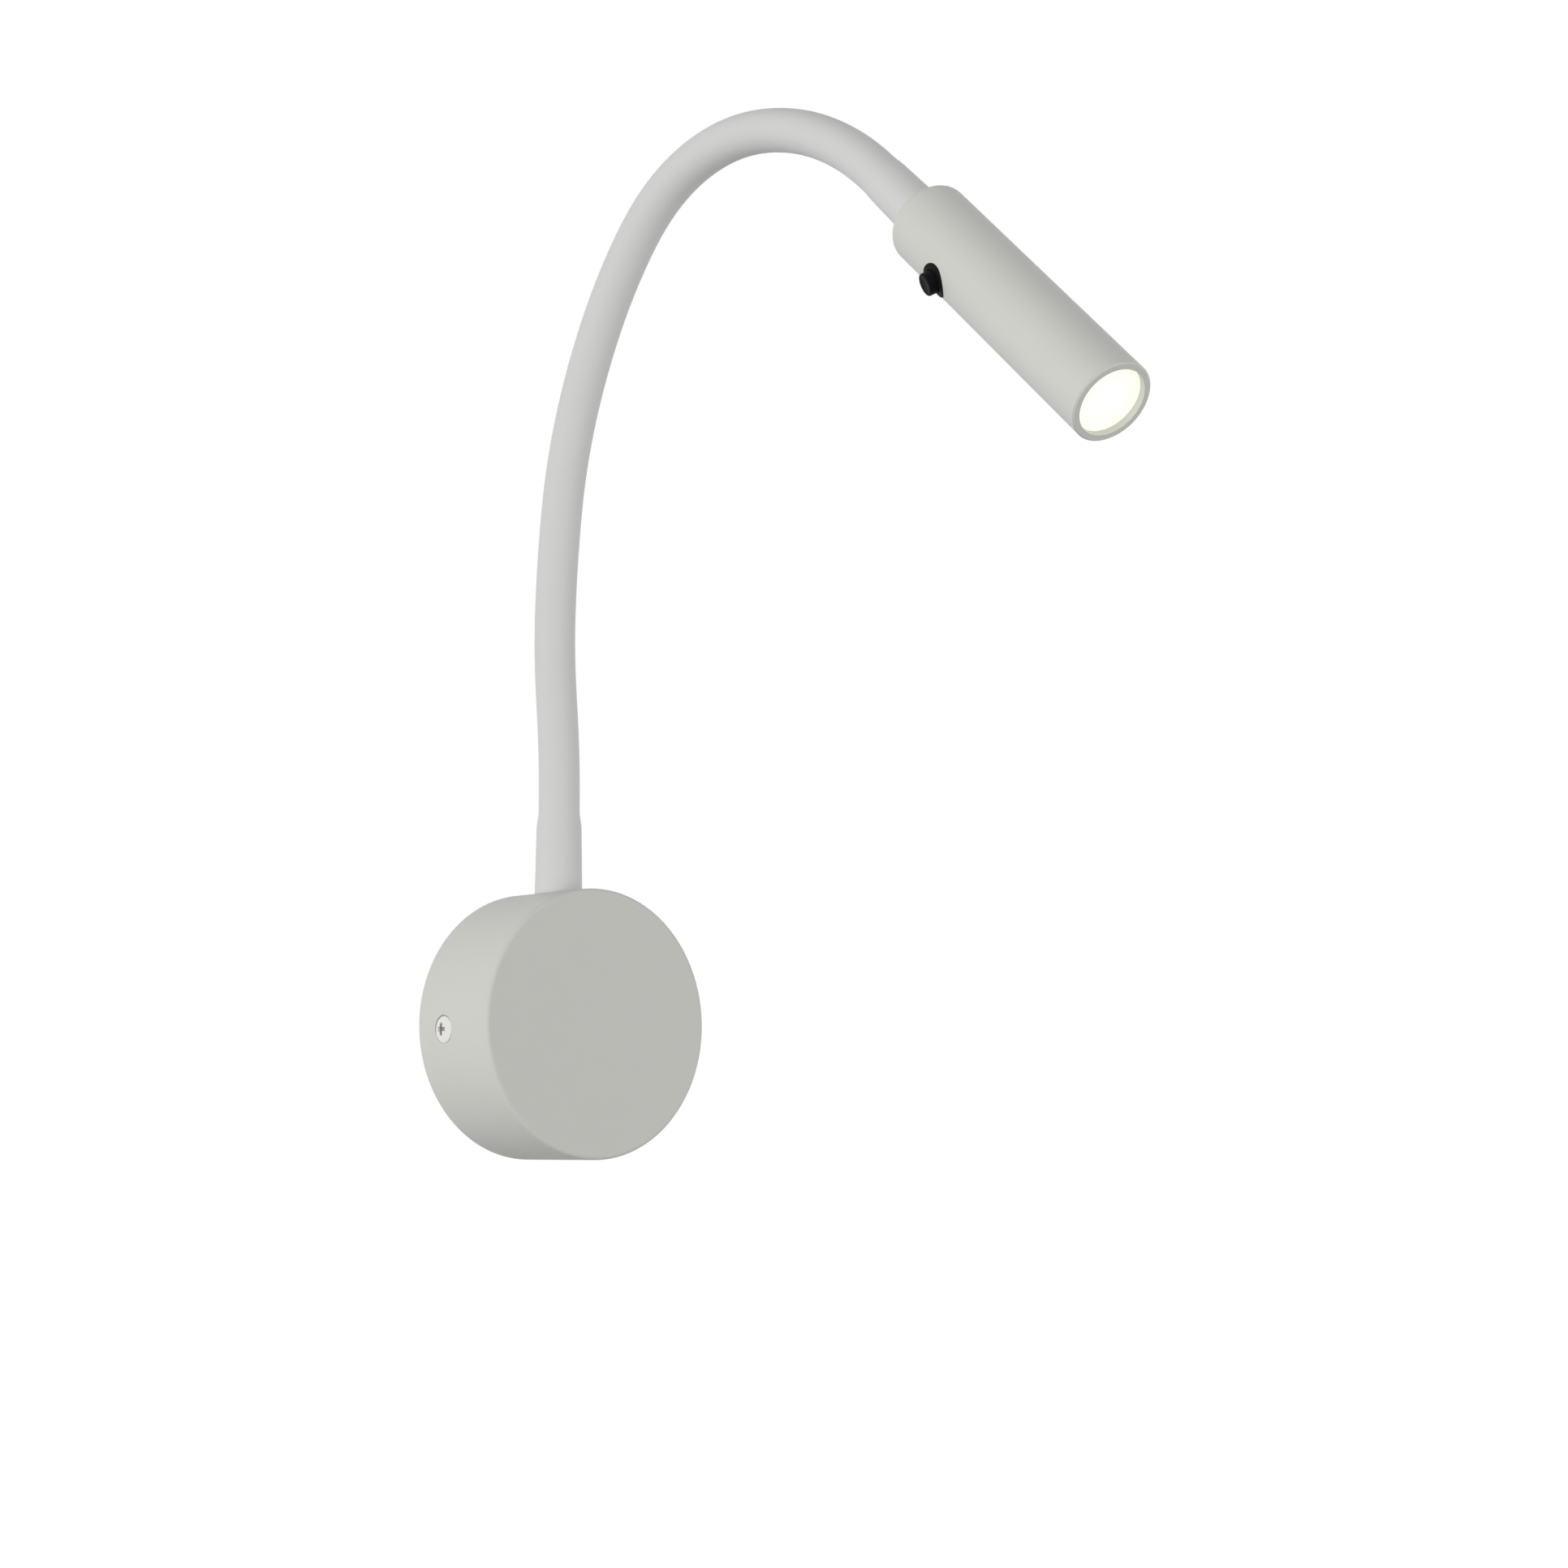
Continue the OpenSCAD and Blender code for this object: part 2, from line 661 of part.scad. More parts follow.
module terminal_block() {
    color("#ececec")
    difference() {
        translate([block_x, -plate_t, block_bottom + block_h / 2])
            out_of_wall() linear_extrude(block_t) cut_corner_outline(block_w, block_h, driver_corner / 2);
        at_poles() translate([0, -plate_t - block_t / 2, block_bottom - cut])
            cylinder(h = block_h + 2 * cut, r = feed_d / 2 + hole_gap);
        at_poles() translate([0, -plate_t - block_t / 2, block_bottom + block_h / 2])
            out_of_wall() cylinder(h = block_t, r = pole_screw_d / 2 + fit_gap);
    }
}

module terminal_screws() {
    color("#c8b56a")
    at_poles()
        translate([0, pole_screw_sink - plate_t - block_t, block_bottom + block_h / 2])
            rotate([-90, 0, 0])
                difference() {
                    cylinder(h = pole_screw_len, d = pole_screw_d);
                    cube([pole_screw_d + cut, recess_w, 2 * recess_depth], center = true);
                }
}

// Two feed wires from the terminal block down into the driver
module driver_wires() {
    color("#7a5a3a")
    at_poles()
        translate([0, -plate_t - block_t / 2, driver_top]) cylinder(h = feed_len + feed_grip, d = feed_d);
}

module neck_nut() {
    color("#c9ccd0")
    translate([0, -neck_depth, pad_bottom - washer_t - nut_t]) hex_nut(nut_af, nut_t, nipple_r + fit_gap);
}

module neck_washer() {
    color("#c9ccd0")
    translate([0, -neck_depth, pad_bottom - washer_t]) washer();
}

module lower_ferrule() {
    color("#c4c7ca")
    translate([0, -neck_depth, seat_z]) fitting(seat_z - nipple_end);
}

// Soft sleeve over the whole neck, thicker over the two fittings
module neck_sleeve() {
    color("#cdcdcb")
    skin(concat([for (u = sleeve_stations) neck_ring(u, sleeve_out(u), sleeve_sides)],
                [for (i = [len(sleeve_stations) - 1:-1:0])
                    neck_ring(sleeve_stations[i], sleeve_in(sleeve_stations[i]), sleeve_sides)]),
         looped = true);
}

// Lead from the driver through the neck into the head
module neck_lead() {
    color("#f2f2f0")
    skin([for (u = concat([driver_top - seat_z - root_len], bend_stations, [neck_len + tip_len + lead_end]))
            neck_ring(u, lead_d / 2, lead_sides)],
         looped = false);
}

// Lower end of the core, crimped in the lower fitting
module core_root() {
    color("#9a9da1")
    translate([0, -neck_depth, seat_z]) {
        translate([0, 0, barrel_floor]) straight_tube(root_len - barrel_floor);
        translate([0, 0, root_len]) ball_end();
    }
}

// Link k of the core: a bent tube with a socket where it begins and a ball where it ends
module core_link(k) {
    color("#9a9da1")
    difference() {
        union() {
            at_joint(k - 1) bent_tube(neck_bends[k - 1]);
            at_joint(k) ball_end();
        }
        translate(joints[k - 1]) sphere(socket_r);
    }
}

// Upper end of the core, crimped in the upper fitting
module core_tip() {
    color("#9a9da1")
    at_joint(links)
        difference() {
            straight_tube(tip_len + flange_t - barrel_floor);
            sphere(socket_r);
        }
}

module upper_ferrule() {
    color("#c4c7ca")
    in_head() translate([0, 0, flange_t]) mirror([0, 0, 1]) fitting(head_nipple_end - flange_t);
}

// Slim tube of the head, closed at the rear but for the neck's hole
module head_housing() {
    color("#c9cac5")
    difference() {
        in_head() rotate_extrude() head_section();
        in_switch() cylinder(h = head_d, d = bushing_d + 2 * hole_gap);
    }
}

module head_section() {
    difference() {
        union() {
            translate([0, rear_edge]) square([head_r, head_len - rear_edge - rim_chamfer]);
            square([head_r - rear_edge, rear_edge + cut]);
            translate([head_r - rear_edge, rear_edge]) circle(rear_edge);
            translate([0, head_len - rim_chamfer])
                polygon([[0, 0], [head_r, 0], [head_r - rim_chamfer, rim_chamfer], [0, rim_chamfer]]);
        }
        translate([0, rear_wall]) square([head_bore_r, head_len]);
        translate([0, -cut]) square([nipple_r + hole_gap, head_len]);
        translate([0, -cut]) square([flange_d / 2 + hole_gap, flange_t + cut]);
    }
}

module head_nut() {
    color("#c9ccd0")
    in_head() translate([0, 0, rear_wall + washer_t]) hex_nut(nut_af, nut_t, nipple_r + fit_gap);
}

module head_washer() {
    color("#c9ccd0")
    in_head() translate([0, 0, rear_wall]) washer();
}

// Solid aluminium plug that takes the chip's heat to the tube
module heat_sink() {
    color("#b9bcbf")
    round_switch()
        difference() {
            translate([0, 0, sink_back]) cylinder(h = sink_len, r = head_bore_r - fit_gap);
            translate([-head_bore_r - cut, -groove_w / 2, sink_back - cut])
                cube([groove_depth + cut, groove_w, sink_len + 2 * cut]);
            at_board_screws() translate([0, 0, board_back - board_screw_len])
                cylinder(h = board_screw_len + cut, r = board_screw_d / 2 + fit_gap);
        }
}

module at_board_screws() {
    for (side = [-1, 1]) translate([0, side * board_screw_spacing / 2, 0]) children();
}

module led_board() {
    color("#f4f4f0")
    round_switch()
        difference() {
            translate([0, 0, board_back]) cylinder(h = board_t, d = board_d);
            at_board_screws() translate([0, 0, board_back - cut])
                cylinder(h = board_t + 2 * cut, r = board_screw_d / 2 + hole_gap);
        }
}

module led_chip() {
    color("#f3d34a")
    in_head() {
        translate([-chip_w / 2, -chip_w / 2, board_front]) cube([chip_w, chip_w, chip_t]);
        translate([0, 0, board_front + chip_t])
            rotate_extrude()
                intersection() {
                    circle(d = dome_d);
                    square(dome_d);
                }
    }
}

module board_screws() {
    color("#c9ccd0")
    round_switch()
        at_board_screws() {
            translate([0, 0, board_back + board_t - board_screw_len])
                cylinder(h = board_screw_len, d = board_screw_d);
            translate([0, 0, board_front]) cylinder(h = board_head_h, d = board_head_d);
        }
}

module lens_holder() {
    color("#f6f6f2")
    in_head()
        translate([0, 0, board_front])
            linear_extrude(holder_len)
                difference() {
                    circle(head_bore_r - fit_gap);
                    circle(holder_bore_r);
                }
}

// Clear lens: a flat rim on the holder, and a cone behind it with a pocket over the chip
module lens() {
    color("#fffdf0")
    in_head()
        difference() {
            union() {
                translate([0, 0, lens_seat]) cylinder(h = lens_rim_t, r = head_bore_r - fit_gap);
                translate([0, 0, lens_back])
                    cylinder(h = lens_cone, d1 = lens_back_d, r2 = holder_bore_r - hole_gap);
            }
            translate([0, 0, lens_back - cut]) cylinder(h = pocket_depth + cut, d = pocket_d);
        }
}

// Part of a solid that lies under a skin round the head
module under_skin(rise) {
    intersection() {
        children();
        in_head() cylinder(h = head_len, r = head_r + rise);
    }
}

// Switch: bezel that hugs the head, threaded bushing and case, with a well for the button
module switch_body() {
    color("#1b1b1c")
    difference() {
        union() {
            difference() {
                under_skin(bezel_rise) in_switch() cylinder(h = head_d, d = bezel_d);
                in_head() cylinder(h = head_len, r = head_r + fit_gap);
            }
            under_skin(bezel_rise / 2) in_switch() translate([0, 0, bezel_top - bushing_len])
                cylinder(h = head_d, d = bushing_d);
            in_switch() translate([0, 0, case_bottom]) cylinder(h = case_depth - lip_t, d = case_d);
        }
        in_switch() translate([0, 0, spring_floor]) cylinder(h = lip_under - spring_floor, r = cavity_r);
        in_switch() translate([0, 0, spring_floor]) cylinder(h = head_d, r = button_r + run_gap);
    }
}

module switch_nut() {
    color("#2a2a2b")
    in_switch()
        translate([0, 0, ring_nut_top - ring_nut_t])
            hex_nut(ring_nut_af, ring_nut_t, bushing_d / 2 + fit_gap);
}

module switch_button() {
    color("#232324")
    in_switch()
        rotate_extrude()
            polygon([[0, collar_under], [button_collar_r, collar_under], [button_collar_r, collar_top],
                     [button_r, collar_top], [button_r, button_top - button_chamfer],
                     [button_r - button_chamfer, button_top], [0, button_top]]);
}

// Return spring between the floor of the well and the button's collar
module switch_spring() {
    steps = spring_turns * spring_rings;
    color("#aeb2b6")
    in_switch() skin([for (i = [0:steps]) spring_ring(i, i / steps)], looped = false);
}

// Upright ring of the spring's wire at step i, at a share of the spring's rise
function spring_ring(i, share) =
    let (a = 360 * i / spring_rings, out = [cos(a), sin(a), 0], up = [0, 0, 1],
         low = spring_floor + fit_gap + spring_wire / 2, rise = spring_len - spring_wire - 2 * fit_gap)
    [for (j = [0:wire_sides - 1]) let (b = 360 * j / wire_sides)
        spring_d / 2 * out + (low + rise * share) * up + spring_wire / 2 * (cos(b) * out + sin(b) * up)];

module switch_terminals() {
    color("#c8b56a")
    in_switch()
        for (side = [-1, 1])
            translate([side * tab_pitch / 2, 0, tab_end + tab_len / 2])
                cube([tab_t, tab_w, tab_len], center = true);
}

// Wires of the head: the lead's switched core to the first tab, the second tab to the board,
// and the other core straight to the board
module head_wires() {
    color("#d9483b")
    round_switch()
        for (route = [core_to_tab, tab_to_board, core_to_board]) {
            p = concat([route[0]], smooth_route([for (i = [1:len(route) - 1]) route[i]]));
            skin([for (i = [0:len(p) - 1]) route_ring(p, i, wire_d / 2, wire_sides)], looped = false);
        }
}

link_names = [for (k = [1:links]) str("core_link_", k)];

canopy();
wall_plate();
canopy_screws();
led_driver();
driver_pad();
terminal_block();
terminal_screws();
driver_wires();
neck_nut();
neck_washer();
lower_ferrule();
neck_sleeve();
neck_lead();
core_root();
for (k = [1:links]) core_link(k);
core_tip();
upper_ferrule();
head_housing();
head_nut();
head_washer();
heat_sink();
led_board();
led_chip();
board_screws();
lens_holder();
lens();
switch_body();
switch_nut();
switch_button();
switch_spring();
switch_terminals();
head_wires();
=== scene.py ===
"""Looks of the gooseneck wall light.

Every solid of the frame that stays gets a finish, and the soft, wound and small pieces are worked out
again as finer surfaces. Sizes are millimetres, and become metres where a mesh is made. The wall is the
plane Y = 0, the light stands out towards -Y, and +Z is up. The neck's line comes from the frame's joints.

The end of a size's name says what it is: _r is a radius, _h a height, _t a thickness and _len a length.
_rows, _columns and _steps are the numbers of points along a surface, round it and in one turn or span.
"""
import json
import logging
import math
from collections.abc import Sequence
from dataclasses import dataclass, field
from enum import Enum

import bmesh
import bpy
import numpy as np
from mathutils import Matrix, Vector


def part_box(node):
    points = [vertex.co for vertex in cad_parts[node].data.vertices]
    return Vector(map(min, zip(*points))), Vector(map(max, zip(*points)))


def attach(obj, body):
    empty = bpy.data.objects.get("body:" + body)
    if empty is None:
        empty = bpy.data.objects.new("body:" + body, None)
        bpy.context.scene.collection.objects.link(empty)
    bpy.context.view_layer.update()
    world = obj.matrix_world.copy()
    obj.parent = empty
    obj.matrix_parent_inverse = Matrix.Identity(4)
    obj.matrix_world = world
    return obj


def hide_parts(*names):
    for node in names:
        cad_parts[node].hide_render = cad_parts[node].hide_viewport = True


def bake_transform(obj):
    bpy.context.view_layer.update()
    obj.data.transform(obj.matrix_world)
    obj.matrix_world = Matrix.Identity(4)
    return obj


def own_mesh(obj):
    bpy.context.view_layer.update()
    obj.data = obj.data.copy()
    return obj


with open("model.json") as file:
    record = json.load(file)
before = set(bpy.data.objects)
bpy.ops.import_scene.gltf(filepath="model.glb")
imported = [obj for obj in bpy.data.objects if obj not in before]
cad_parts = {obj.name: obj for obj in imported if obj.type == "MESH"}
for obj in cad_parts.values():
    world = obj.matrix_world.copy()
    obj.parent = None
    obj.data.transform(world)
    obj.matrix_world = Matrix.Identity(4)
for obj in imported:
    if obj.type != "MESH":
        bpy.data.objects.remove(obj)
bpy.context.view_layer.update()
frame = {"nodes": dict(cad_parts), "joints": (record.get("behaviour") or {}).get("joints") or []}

LOG = logging.getLogger("wall_light")
Rgb = tuple[float, float, float]
Point = tuple[float, float, float]
Piece = bpy.types.Object
Socket = bpy.types.NodeSocket

MM = 0.001
QUARTER_TURN = math.pi / 2
WELD = 1e-7  # distance in metres at which two points of a mesh become one
NEAR_ZERO = 1e-6  # stands in for a length of nothing where one is divided by
SAME_DIGITS = 4  # lengths that agree to this many digits are one length

# Attributes that pieces carry for their finishes.
STRAIGHT = "straight_place"
# This attribute carries painted shade: the share by which a screw's cross recess is darkened in colour.
RECESS_SHADE = "recess_shade"

# Settings that the finishes share.
WHITE = (1.0, 1.0, 1.0, 1.0)
ACROSS = (1.0, 1.0, 0.0)  # drops a place along Z and keeps it across
MIX_FIRST, MIX_SECOND, MIX_RESULT = 6, 7, 2  # numbers of a mixing node's colour sockets
CLOUD_GAIN = 0.55  # strength of each finer layer of clouds
GLOSS_FINER = 3  # how many times finer the gloss's clouds are than the colour's
GRAIN_DETAIL = 2.0  # finer layers of a grain
RING_SPREAD = 6  # turned lines are this much wider than a wave texture's own
RING_WOBBLE = {"Distortion": 0.6, "Detail": 2.0, "Detail Scale": 0.4}  # unevenness of turned lines


class Pattern(Enum):
    """Fine structure of a finish."""

    GRAIN = "small soft bumps"
    CELLS = "small closed cells"
    RINGS = "turned lines round an axis"


class Place(Enum):
    """What a finish's pattern is laid out on."""

    SOLID = "the solid's own coordinates"
    NECK = "the straightened coordinates that the neck's pieces carry"


@dataclass(frozen=True)
class Axis:
    """Place and tilt of a pattern, for solids that don't lie along the frame's axes.

    Attributes:
        origin: A point on the axis, in millimetres.
        tilt: Turn of the pattern's Z axis about X, in degrees.
    """

    origin: Point = (0.0, 0.0, 0.0)
    tilt: float = 0.0


class Graph:
    """Node graph of a material or of the world."""

    def __init__(self, owner: bpy.types.Material | bpy.types.World) -> None:
        """Starts from the nodes that Blender gives the graph's owner."""
        owner.use_nodes = True
        self.tree = owner.node_tree

    def add(self, kind: str, inputs: dict | None = None, **settings: object) -> bpy.types.Node:
        """Adds a node, sets it up and feeds its sockets.

        Args:
            kind: Blender's name of the node.
            inputs: A value or another node's socket for each named or numbered socket.
            settings: The node's own settings.

        Returns:
            The new node.
        """
        node = self.tree.nodes.new(kind)
        for key, value in settings.items():
            setattr(node, key, value)
        self.feed(node, inputs or {})
        return node

    def feed(self, node: bpy.types.Node, inputs: dict) -> None:
        """Links sockets to a node's inputs, or sets the inputs' own values.

        Args:
            node: The node that is fed.
            inputs: A value or another node's socket for each named or numbered socket.
        """
        for key, value in inputs.items():
            if isinstance(value, Socket):
                self.tree.links.new(value, node.inputs[key])
            else:
                node.inputs[key].default_value = value

    def ramp(self, value: Socket, low: float, high: float) -> Socket:
        """Maps a value from 0..1 to low..high, and returns the socket of the result."""
        sockets = {"Value": value, "To Min": low, "To Max": high}
        return self.add("ShaderNodeMapRange", sockets).outputs["Result"]

    def seen_directly(self) -> Socket:
        """Tells rays that come from the camera, a mirror or glass from the rest.

        Returns:
            The socket that is 1 for those rays and 0 for the others.
        """
        rays = self.add("ShaderNodeLightPath").outputs
        total = rays["Is Camera Ray"]
        for name in ("Is Glossy Ray", "Is Transmission Ray"):
            total = self.add("ShaderNodeMath", {0: total, 1: rays[name]}, operation="MAXIMUM").outputs[0]
        return total


class Recipe(Graph):
    """Node graph of one material, built round a single surface shader."""

    def __init__(self, name: str) -> None:
        """Starts the material.

        Args:
            name: The material's name.
        """
        self.material = bpy.data.materials.new(name)
        super().__init__(self.material)
        self.shader = self.tree.nodes["Principled BSDF"]

    def surface(self, **inputs: object) -> None:
        """Feeds the surface shader, with spaces for the underscores in its sockets' names."""
        self.feed(self.shader, {key.replace("_", " "): value for key, value in inputs.items()})

    def place(self, place: Place, axis: Axis) -> Socket:
        """Gives the coordinates that a pattern reads.

        Args:
            place: What the pattern is laid out on.
            axis: Place and tilt of the pattern.

        Returns:
            The socket that carries the coordinates, in metres.
        """
        if place is Place.NECK:
            return self.add("ShaderNodeAttribute", attribute_name=STRAIGHT).outputs["Vector"]
        sockets = {
            "Vector": self.add("ShaderNodeTexCoord").outputs["Object"],
            "Location": [v * MM for v in axis.origin],
            "Rotation": (math.radians(axis.tilt), 0.0, 0.0),
        }
        return self.add("ShaderNodeMapping", sockets, vector_type="TEXTURE").outputs["Vector"]

    def noise(self, where: Socket, size: float, detail: float = 3.0) -> Socket:
        """Adds clouds of a size in millimetres with finer layers, and returns their socket, from 0 to 1."""
        sockets = {"Vector": where, "Scale": 1 / (size * MM), "Detail": detail, "Roughness": CLOUD_GAIN}
        return self.add("ShaderNodeTexNoise", sockets).outputs["Fac"]

    def mix(self, share: Socket, first: object, second: object) -> Socket:
        """Goes from a first colour or its socket to a second one as the share goes from 0 to 1."""
        sockets = {"Factor": share, MIX_FIRST: first, MIX_SECOND: second}
        return self.add("ShaderNodeMix", sockets, data_type="RGBA").outputs[MIX_RESULT]

    def tint(self, color: Rgb, swing: float, value: Socket) -> Socket:
        """Makes a colour that swings about its mean.

        Args:
            color: The mean colour.
            swing: Share by which it gets darker and lighter.
            value: The socket that drives the swing, from 0 to 1.

        Returns:
            The socket of the colour.
        """
        dark = [max(0.0, c * (1 - swing)) for c in color]
        light = [min(1.0, c * (1 + swing)) for c in color]
        return self.mix(value, (*dark, 1.0), (*light, 1.0))

    def bump(self, height: Socket, depth: float) -> Socket:
        """Adds relief of a depth in millimetres from a height of 0 to 1, and gives the normal's socket."""
        sockets = {"Height": height, "Distance": depth * MM, "Strength": 1.0}
        return self.add("ShaderNodeBump", sockets).outputs["Normal"]


@dataclass(frozen=True)
class Finish:
    """A surface finish with cloudy colour, uneven gloss and a fine relief.

    Attributes:
        name: Name of the material.
        color: Mean colour, linear.
        roughness: Mean roughness.
        metallic: 1 for bare metal.
        swing: Share by which the colour swings.
        cloud: Size of the colour's clouds, in millimetres.
        gloss_swing: Part by which the roughness swings.
        depth: Depth of the fine relief, in millimetres.
        grain: Size of the fine relief, in millimetres.
        specular: Level of the mirrored light, 0.5 for plain plastic and paint.
        pattern: Kind of fine relief.
        place: What the pattern is laid out on.
        axis: Place and tilt of the pattern.
    """

    name: str
    color: Rgb
    roughness: float = 0.5
    metallic: float = 0.0
    swing: float = 0.02
    cloud: float = 9.0
    gloss_swing: float = 0.05
    depth: float = 0.004
    grain: float = 0.35
    specular: float = 0.5
    pattern: Pattern = Pattern.GRAIN
    place: Place = Place.SOLID
    axis: Axis = field(default_factory=Axis)

    def relief(self, recipe: Recipe, where: Socket) -> Socket:
        """Makes the height of the fine relief.

        Args:
            recipe: The material's graph.
            where: The coordinates.

        Returns:
            The socket of the height, from 0 to 1.
        """
        scale = 1 / (self.grain * MM)
        if self.pattern is Pattern.CELLS:
            return recipe.add("ShaderNodeTexVoronoi", {"Vector": where, "Scale": scale}).outputs["Distance"]
        if self.pattern is Pattern.RINGS:
            sockets = {"Vector": where, "Scale": scale / RING_SPREAD, **RING_WOBBLE}
            rings = recipe.add("ShaderNodeTexWave", sockets, wave_type="BANDS", bands_direction="Z")
            return rings.outputs["Fac"]
        return recipe.noise(where, self.grain, GRAIN_DETAIL)

    def material(self) -> bpy.types.Material:
        """Builds the material.

        Returns:
            The material.
        """
        recipe = Recipe(self.name)
        where = recipe.place(self.place, self.axis)
        clouds = recipe.noise(where, self.cloud)
        relief = self.relief(recipe, where)
        low, high = self.roughness - self.gloss_swing, self.roughness + self.gloss_swing
        recipe.surface(
            Base_Color=recipe.tint(self.color, self.swing, clouds),
            Roughness=recipe.ramp(recipe.noise(where, self.cloud / GLOSS_FINER), low, high),
            Metallic=self.metallic,
            Specular_IOR_Level=self.specular,
            Normal=recipe.bump(relief, self.depth),
        )
        self.extra(recipe, where)
        return recipe.material

    def extra(self, recipe: Recipe, where: Socket) -> None:
        """Adds what only some finishes have to the material's graph, on the pattern's coordinates."""


@dataclass(frozen=True)
class SoftFinish(Finish):
    """Matt soft surface with a faint sheen.

    Attributes:
        sheen: Strength of the sheen.
        sheen_roughness: Roughness of the sheen.
    """

    sheen: float = 0.12
    sheen_roughness: float = 0.45

    def extra(self, recipe: Recipe, where: Socket) -> None:
        """Adds the sheen, which needs no coordinates."""
        recipe.surface(Sheen_Weight=self.sheen, Sheen_Roughness=self.sheen_roughness)


@dataclass(frozen=True)
class RecessShadeFinish(Finish):
    """Bare surface with painted shade in its recesses: their colour is darkened where shade falls.

    Attributes:
        deep: Colour of the painted shade at the bottom of a recess.
    """

    # Painted shade colour at the bottom of the recess.
    deep: Rgb = (0.3, 0.3, 0.29)

    def extra(self, recipe: Recipe, where: Socket) -> None:
        """Paints shade into the recesses that the piece carries marks of, by mixing their colour towards a
        dark one.

        Args:
            recipe: The material's graph.
            where: The coordinates, which the marks don't need.
        """
        # Painted shade: the colour in the screw's cross recess is darkened where shade falls.
        mark = recipe.add("ShaderNodeAttribute", attribute_name=RECESS_SHADE).outputs["Fac"]
        bare = recipe.shader.inputs["Base Color"].links[0].from_socket
        recipe.surface(Base_Color=recipe.mix(mark, bare, (*self.deep, 1.0)))


@dataclass(frozen=True)
class LitFinish(Finish):
    """Frosted surface that gives light, a little less and yellower towards its rim.

    Attributes:
        glow: Colour of the light in the middle.
        rim_glow: Colour of the light at the rim.
        strength: Strength of the light in the middle.
        rim: Strength of the light at the rim.
        radius: Distance of the rim from the axis, in millimetres.
    """

    glow: Rgb = (1.0, 1.0, 0.86)
    rim_glow: Rgb = (1.0, 1.0, 0.82)
    strength: float = 0.86
    rim: float = 0.83
    radius: float = 9.55

    def extra(self, recipe: Recipe, where: Socket) -> None:
        """Adds the light, which follows the distance from the axis.

        Args:
            recipe: The material's graph.
            where: The coordinates.
        """
        flat = recipe.add("ShaderNodeVectorMath", {0: where, 1: ACROSS}, operation="MULTIPLY")
        away = recipe.add("ShaderNodeVectorMath", {0: flat.outputs["Vector"]}, operation="LENGTH")
        sockets = {"Value": away.outputs["Value"], "From Max": self.radius * MM}
        share = recipe.add("ShaderNodeMapRange", sockets, interpolation_type="SMOOTHSTEP").outputs["Result"]
        recipe.surface(
            Emission_Color=recipe.mix(share, (*self.glow, 1.0), (*self.rim_glow, 1.0)),
            Emission_Strength=recipe.ramp(share, self.strength, self.rim),
        )


@dataclass
class Grid:
    """Surface on a grid of points.

    Attributes:
        points: Array of rows, columns and coordinates, in millimetres.
        loop: Whether the last row joins the first one.
        ring: Whether the last column joins the first one.
    """

    points: np.ndarray
    loop: bool = False
    ring: bool = True

    def quads(self, first: int) -> np.ndarray:
        """Numbers the corners of the grid's faces.

        Args:
            first: Number of the grid's first point.

        Returns:
            Array of faces with four corners each.
        """
        rows, columns = self.points.shape[:2]
        index = first + np.arange(rows * columns).reshape(rows, columns)
        if self.ring:
            index = np.hstack([index, index[:, :1]])
        if self.loop:
            index = np.vstack([index, index[:1]])
        corners = [index[:-1, :-1], index[:-1, 1:], index[1:, 1:], index[1:, :-1]]
        return np.stack(corners, axis=-1).reshape(-1, 4)


def make_piece(
    name: str, grids: Sequence[Grid], crease: float = 35.0, recess_shade: np.ndarray | None = None
) -> Piece:
    """Puts grids into one mesh, closes its poles and seams and turns its faces outwards.

    Args:
        name: Name of the piece.
        grids: Its surfaces, closed together.
        crease: Angle in degrees past which an edge stays sharp.
        recess_shade: Share of painted shade at each point, which darkens the colour there in a recess.

    Returns:
        The new object, at the origin.
    """
    points = np.concatenate([g.points.reshape(-1, 3) for g in grids]) * MM
    starts = np.cumsum([0] + [g.points.shape[0] * g.points.shape[1] for g in grids])
    quads = np.concatenate([g.quads(s) for g, s in zip(grids, starts)])
    mesh = bpy.data.meshes.new(name)
    mesh.from_pydata(points, [], quads)
    if recess_shade is not None:
        mesh.attributes.new(RECESS_SHADE, "FLOAT", "POINT").data.foreach_set("value", recess_shade.astype(np.float32))
    shape = bmesh.new()
    shape.from_mesh(mesh)
    bmesh.ops.remove_doubles(shape, verts=shape.verts, dist=WELD)
    bmesh.ops.recalc_face_normals(shape, faces=shape.faces)
    shape.to_mesh(mesh)
    shape.free()
    mesh.shade_smooth()
    mesh.set_sharp_from_angle(angle=math.radians(crease))
    piece = bpy.data.objects.new(name, mesh)
    bpy.context.scene.collection.objects.link(piece)
    return piece


def dress(piece: Piece, material: bpy.types.Material) -> None:
    """Gives a piece or a solid its only material."""
    piece.data.materials.clear()
    piece.data.materials.append(material)


def box_mm(node: str) -> list[np.ndarray]:
    """Gives the lowest and highest corners of a solid of the frame, in millimetres."""
    return [np.array(corner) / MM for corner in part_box(node)]


def ring_angles(columns: int) -> np.ndarray:
    """Spaces angles evenly over one turn, and returns them in radians."""
    return np.arange(columns) * (2 * np.pi / columns)


def revolve(profile: np.ndarray, columns: int) -> np.ndarray:
    """Turns a profile round Z: x = r cos a, y = r sin a, z = z.

    Args:
        profile: Rows of radius and height.
        columns: Number of points round the axis.

    Returns:
        Array of rows, columns and coordinates.
    """
    a = ring_angles(columns)
    r, z = profile[:, :1], profile[:, 1:]
    return np.stack([r * np.cos(a), r * np.sin(a), z + 0 * a], axis=-1)


def arc(centre: tuple[float, float], radius: float, start: float, end: float, steps: int = 6) -> np.ndarray:
    """Rounds a profile's corner from one angle to another, in degrees: centre + radius (cos a, sin a)."""
    a = np.radians(np.linspace(start, end, steps + 1))
    return np.stack([centre[0] + radius * np.cos(a), centre[1] + radius * np.sin(a)], axis=-1)


